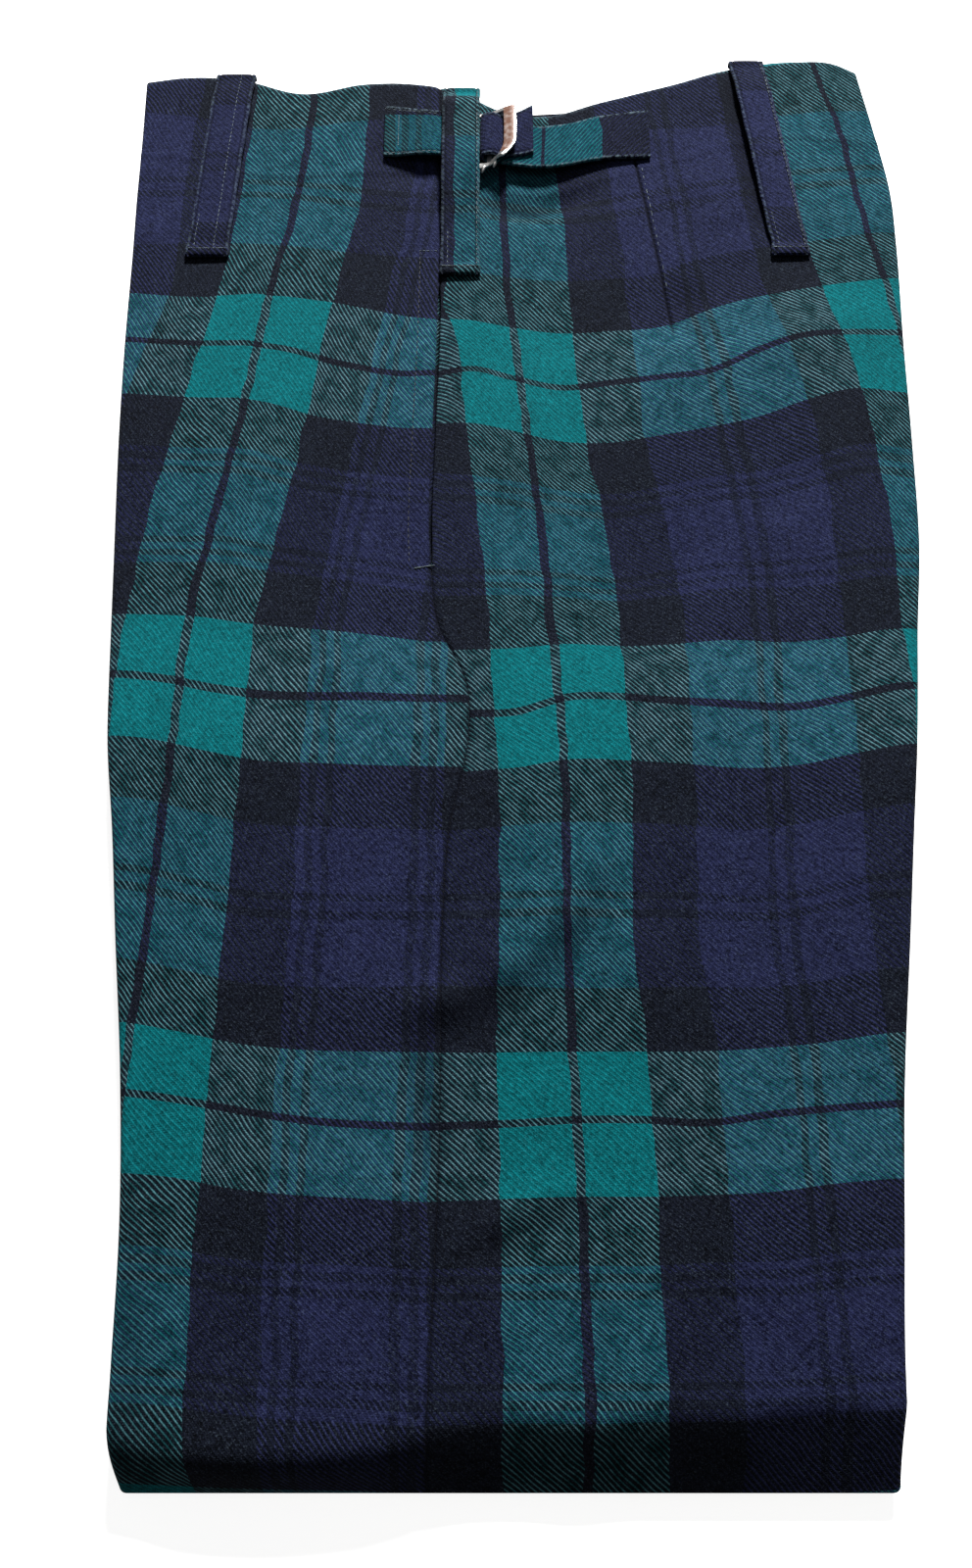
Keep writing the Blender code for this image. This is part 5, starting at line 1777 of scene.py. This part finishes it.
def build():
    """Makes every piece, hides the solids that the pieces take the place of, and hangs each piece on the root
    body.
    """
    studio()
    sett = sett_colour_group()
    groups = {"weave": woven_check_group(sett), "wool": wool_group()}
    front_cloth = tartan("front_tartan", groups, FRONT_WARP_SHIFT, WEFT_SHIFT)
    back_cloth = tartan("back_tartan", groups, BACK_WARP_SHIFT, WEFT_SHIFT)
    # The hidden layers, strap and chape have painted light levels of their own
    hidden_cloth = tartan("hidden_layers", groups, 0.0, WEFT_SHIFT, shade=0.8)
    metal = steel("polished_steel")

    left_front = panel("left_front_cloth", left_rows(), True, 60, front_cloth)
    left_back = panel("left_back_cloth", left_rows(), False, None, back_cloth)
    right_front = panel("right_front_cloth", right_rows(), True, 30, front_cloth)
    right_back = panel("right_back_cloth", right_rows(), False, 40, back_cloth)
    layers = inner_layers(hidden_cloth)
    for piece, node, slot in (
        (left_front, "left_front", "front_tartan"),
        (left_back, "left_back", "back_tartan"),
        (right_front, "right_front", "front_tartan"),
        (right_back, "right_back", "back_tartan"),
        (layers, "folded_layers", "hidden_layers"),
    ):
        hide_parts(node)
        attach(piece, "root")

    sewing = stitching_tree()
    pale = thread_surface("pale_thread", PALE_THREAD)
    dark = thread_surface("dark_thread", DARK_THREAD)
    small_pieces = []
    edge_lines, tack_lines = [], []
    for loop in LOOPS:
        cloth = tartan(loop.name + "_tartan", groups, loop.warp_shift, 0.0, lean=-1.0, shade=loop.shade)
        piece, run = belt_loop(loop, cloth)
        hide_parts(loop.name)
        small_pieces.append((piece, "strap_tartan"))
        length = float(run.places[-1])
        edge_lines.append(line_on_run(run, loop.stitch_inset, 1, 4.0, length - 5.0))
        edge_lines.append(line_on_run(run, 3.0, -1, length - 22.0, length - 6.0))
        tack_lines.append(line_across_run(run, length - LOOP_TACK_INSET))
    cloth = tartan("strap_tartan", groups, 0.0, 104.0, turned=True, shade=0.8, depth=0.45, bleed=0.6)
    strap, run = adjuster_strap(cloth)
    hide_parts("adjuster_strap")
    small_pieces.append((strap, "strap_tartan"))
    edge_lines += [line_on_run(run, 1.3, side, 6.0, 47.0) for side in (-1, 1)]
    tack_lines += [line_across_run(run, place, 0.9) for place in (6.5, 22.6)]
    cloth = tartan("chape_tartan", groups, 0.0, 64.8, turned=True, shade=0.78, depth=0.5, bleed=0.6)
    chape, run = adjuster_chape(cloth)
    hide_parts("adjuster_chape")
    small_pieces.append((chape, "strap_tartan"))
    edge_lines += [line_on_run(run, inset, side, 1.0, 24.0) for inset, side in ((1.2, -1), (2.2, 1))]
    tack_lines.append(line_across_run(run, 6.5, 0.6))
    slide = slide_buckle(metal)
    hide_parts("waist_slide_buckle")
    small_pieces.append((slide, "slide_metal"))

    edging = stitches("strap_edge_stitches", edge_lines, sewing, pale, EDGE_STITCH, 3)
    tacks = stitches("strap_tack_stitches", tack_lines, sewing, pale, TACK_STITCH, 5)
    small_pieces += [(edging, "strap_tartan"), (tacks, "strap_tartan")]
    pocket_top, pocket_side = pocket_topstitching()
    topstitching = stitches("pocket_topstitching", [pocket_side], sewing, dark, TOPSTITCH, 7)
    top_row = stitches("pocket_top_stitches", [pocket_top], sewing, pale, POCKET_TOP_STITCH, 9)
    tack_row = on_panel(BAR_TACK, True, 0.2)
    bar_tack = stitches("pocket_bar_tack", [tack_row], sewing, pale, BAR_TACK_STITCH, 11)
    downs = np.linspace(*DART_STITCHES, 40)
    dart_row = on_panel([(float(dart_line(along)) + DART_STITCHES_ASIDE, along) for along in downs], False)
    dart_stitches = stitches("dart_stitches", [dart_row], sewing, pale, DART_STITCH, 13)
    small_pieces += [(piece, "front_tartan") for piece in (topstitching, top_row, bar_tack)]
    small_pieces.append((dart_stitches, "back_tartan"))
    for piece, slot in small_pieces:
        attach(piece, "root")


build()
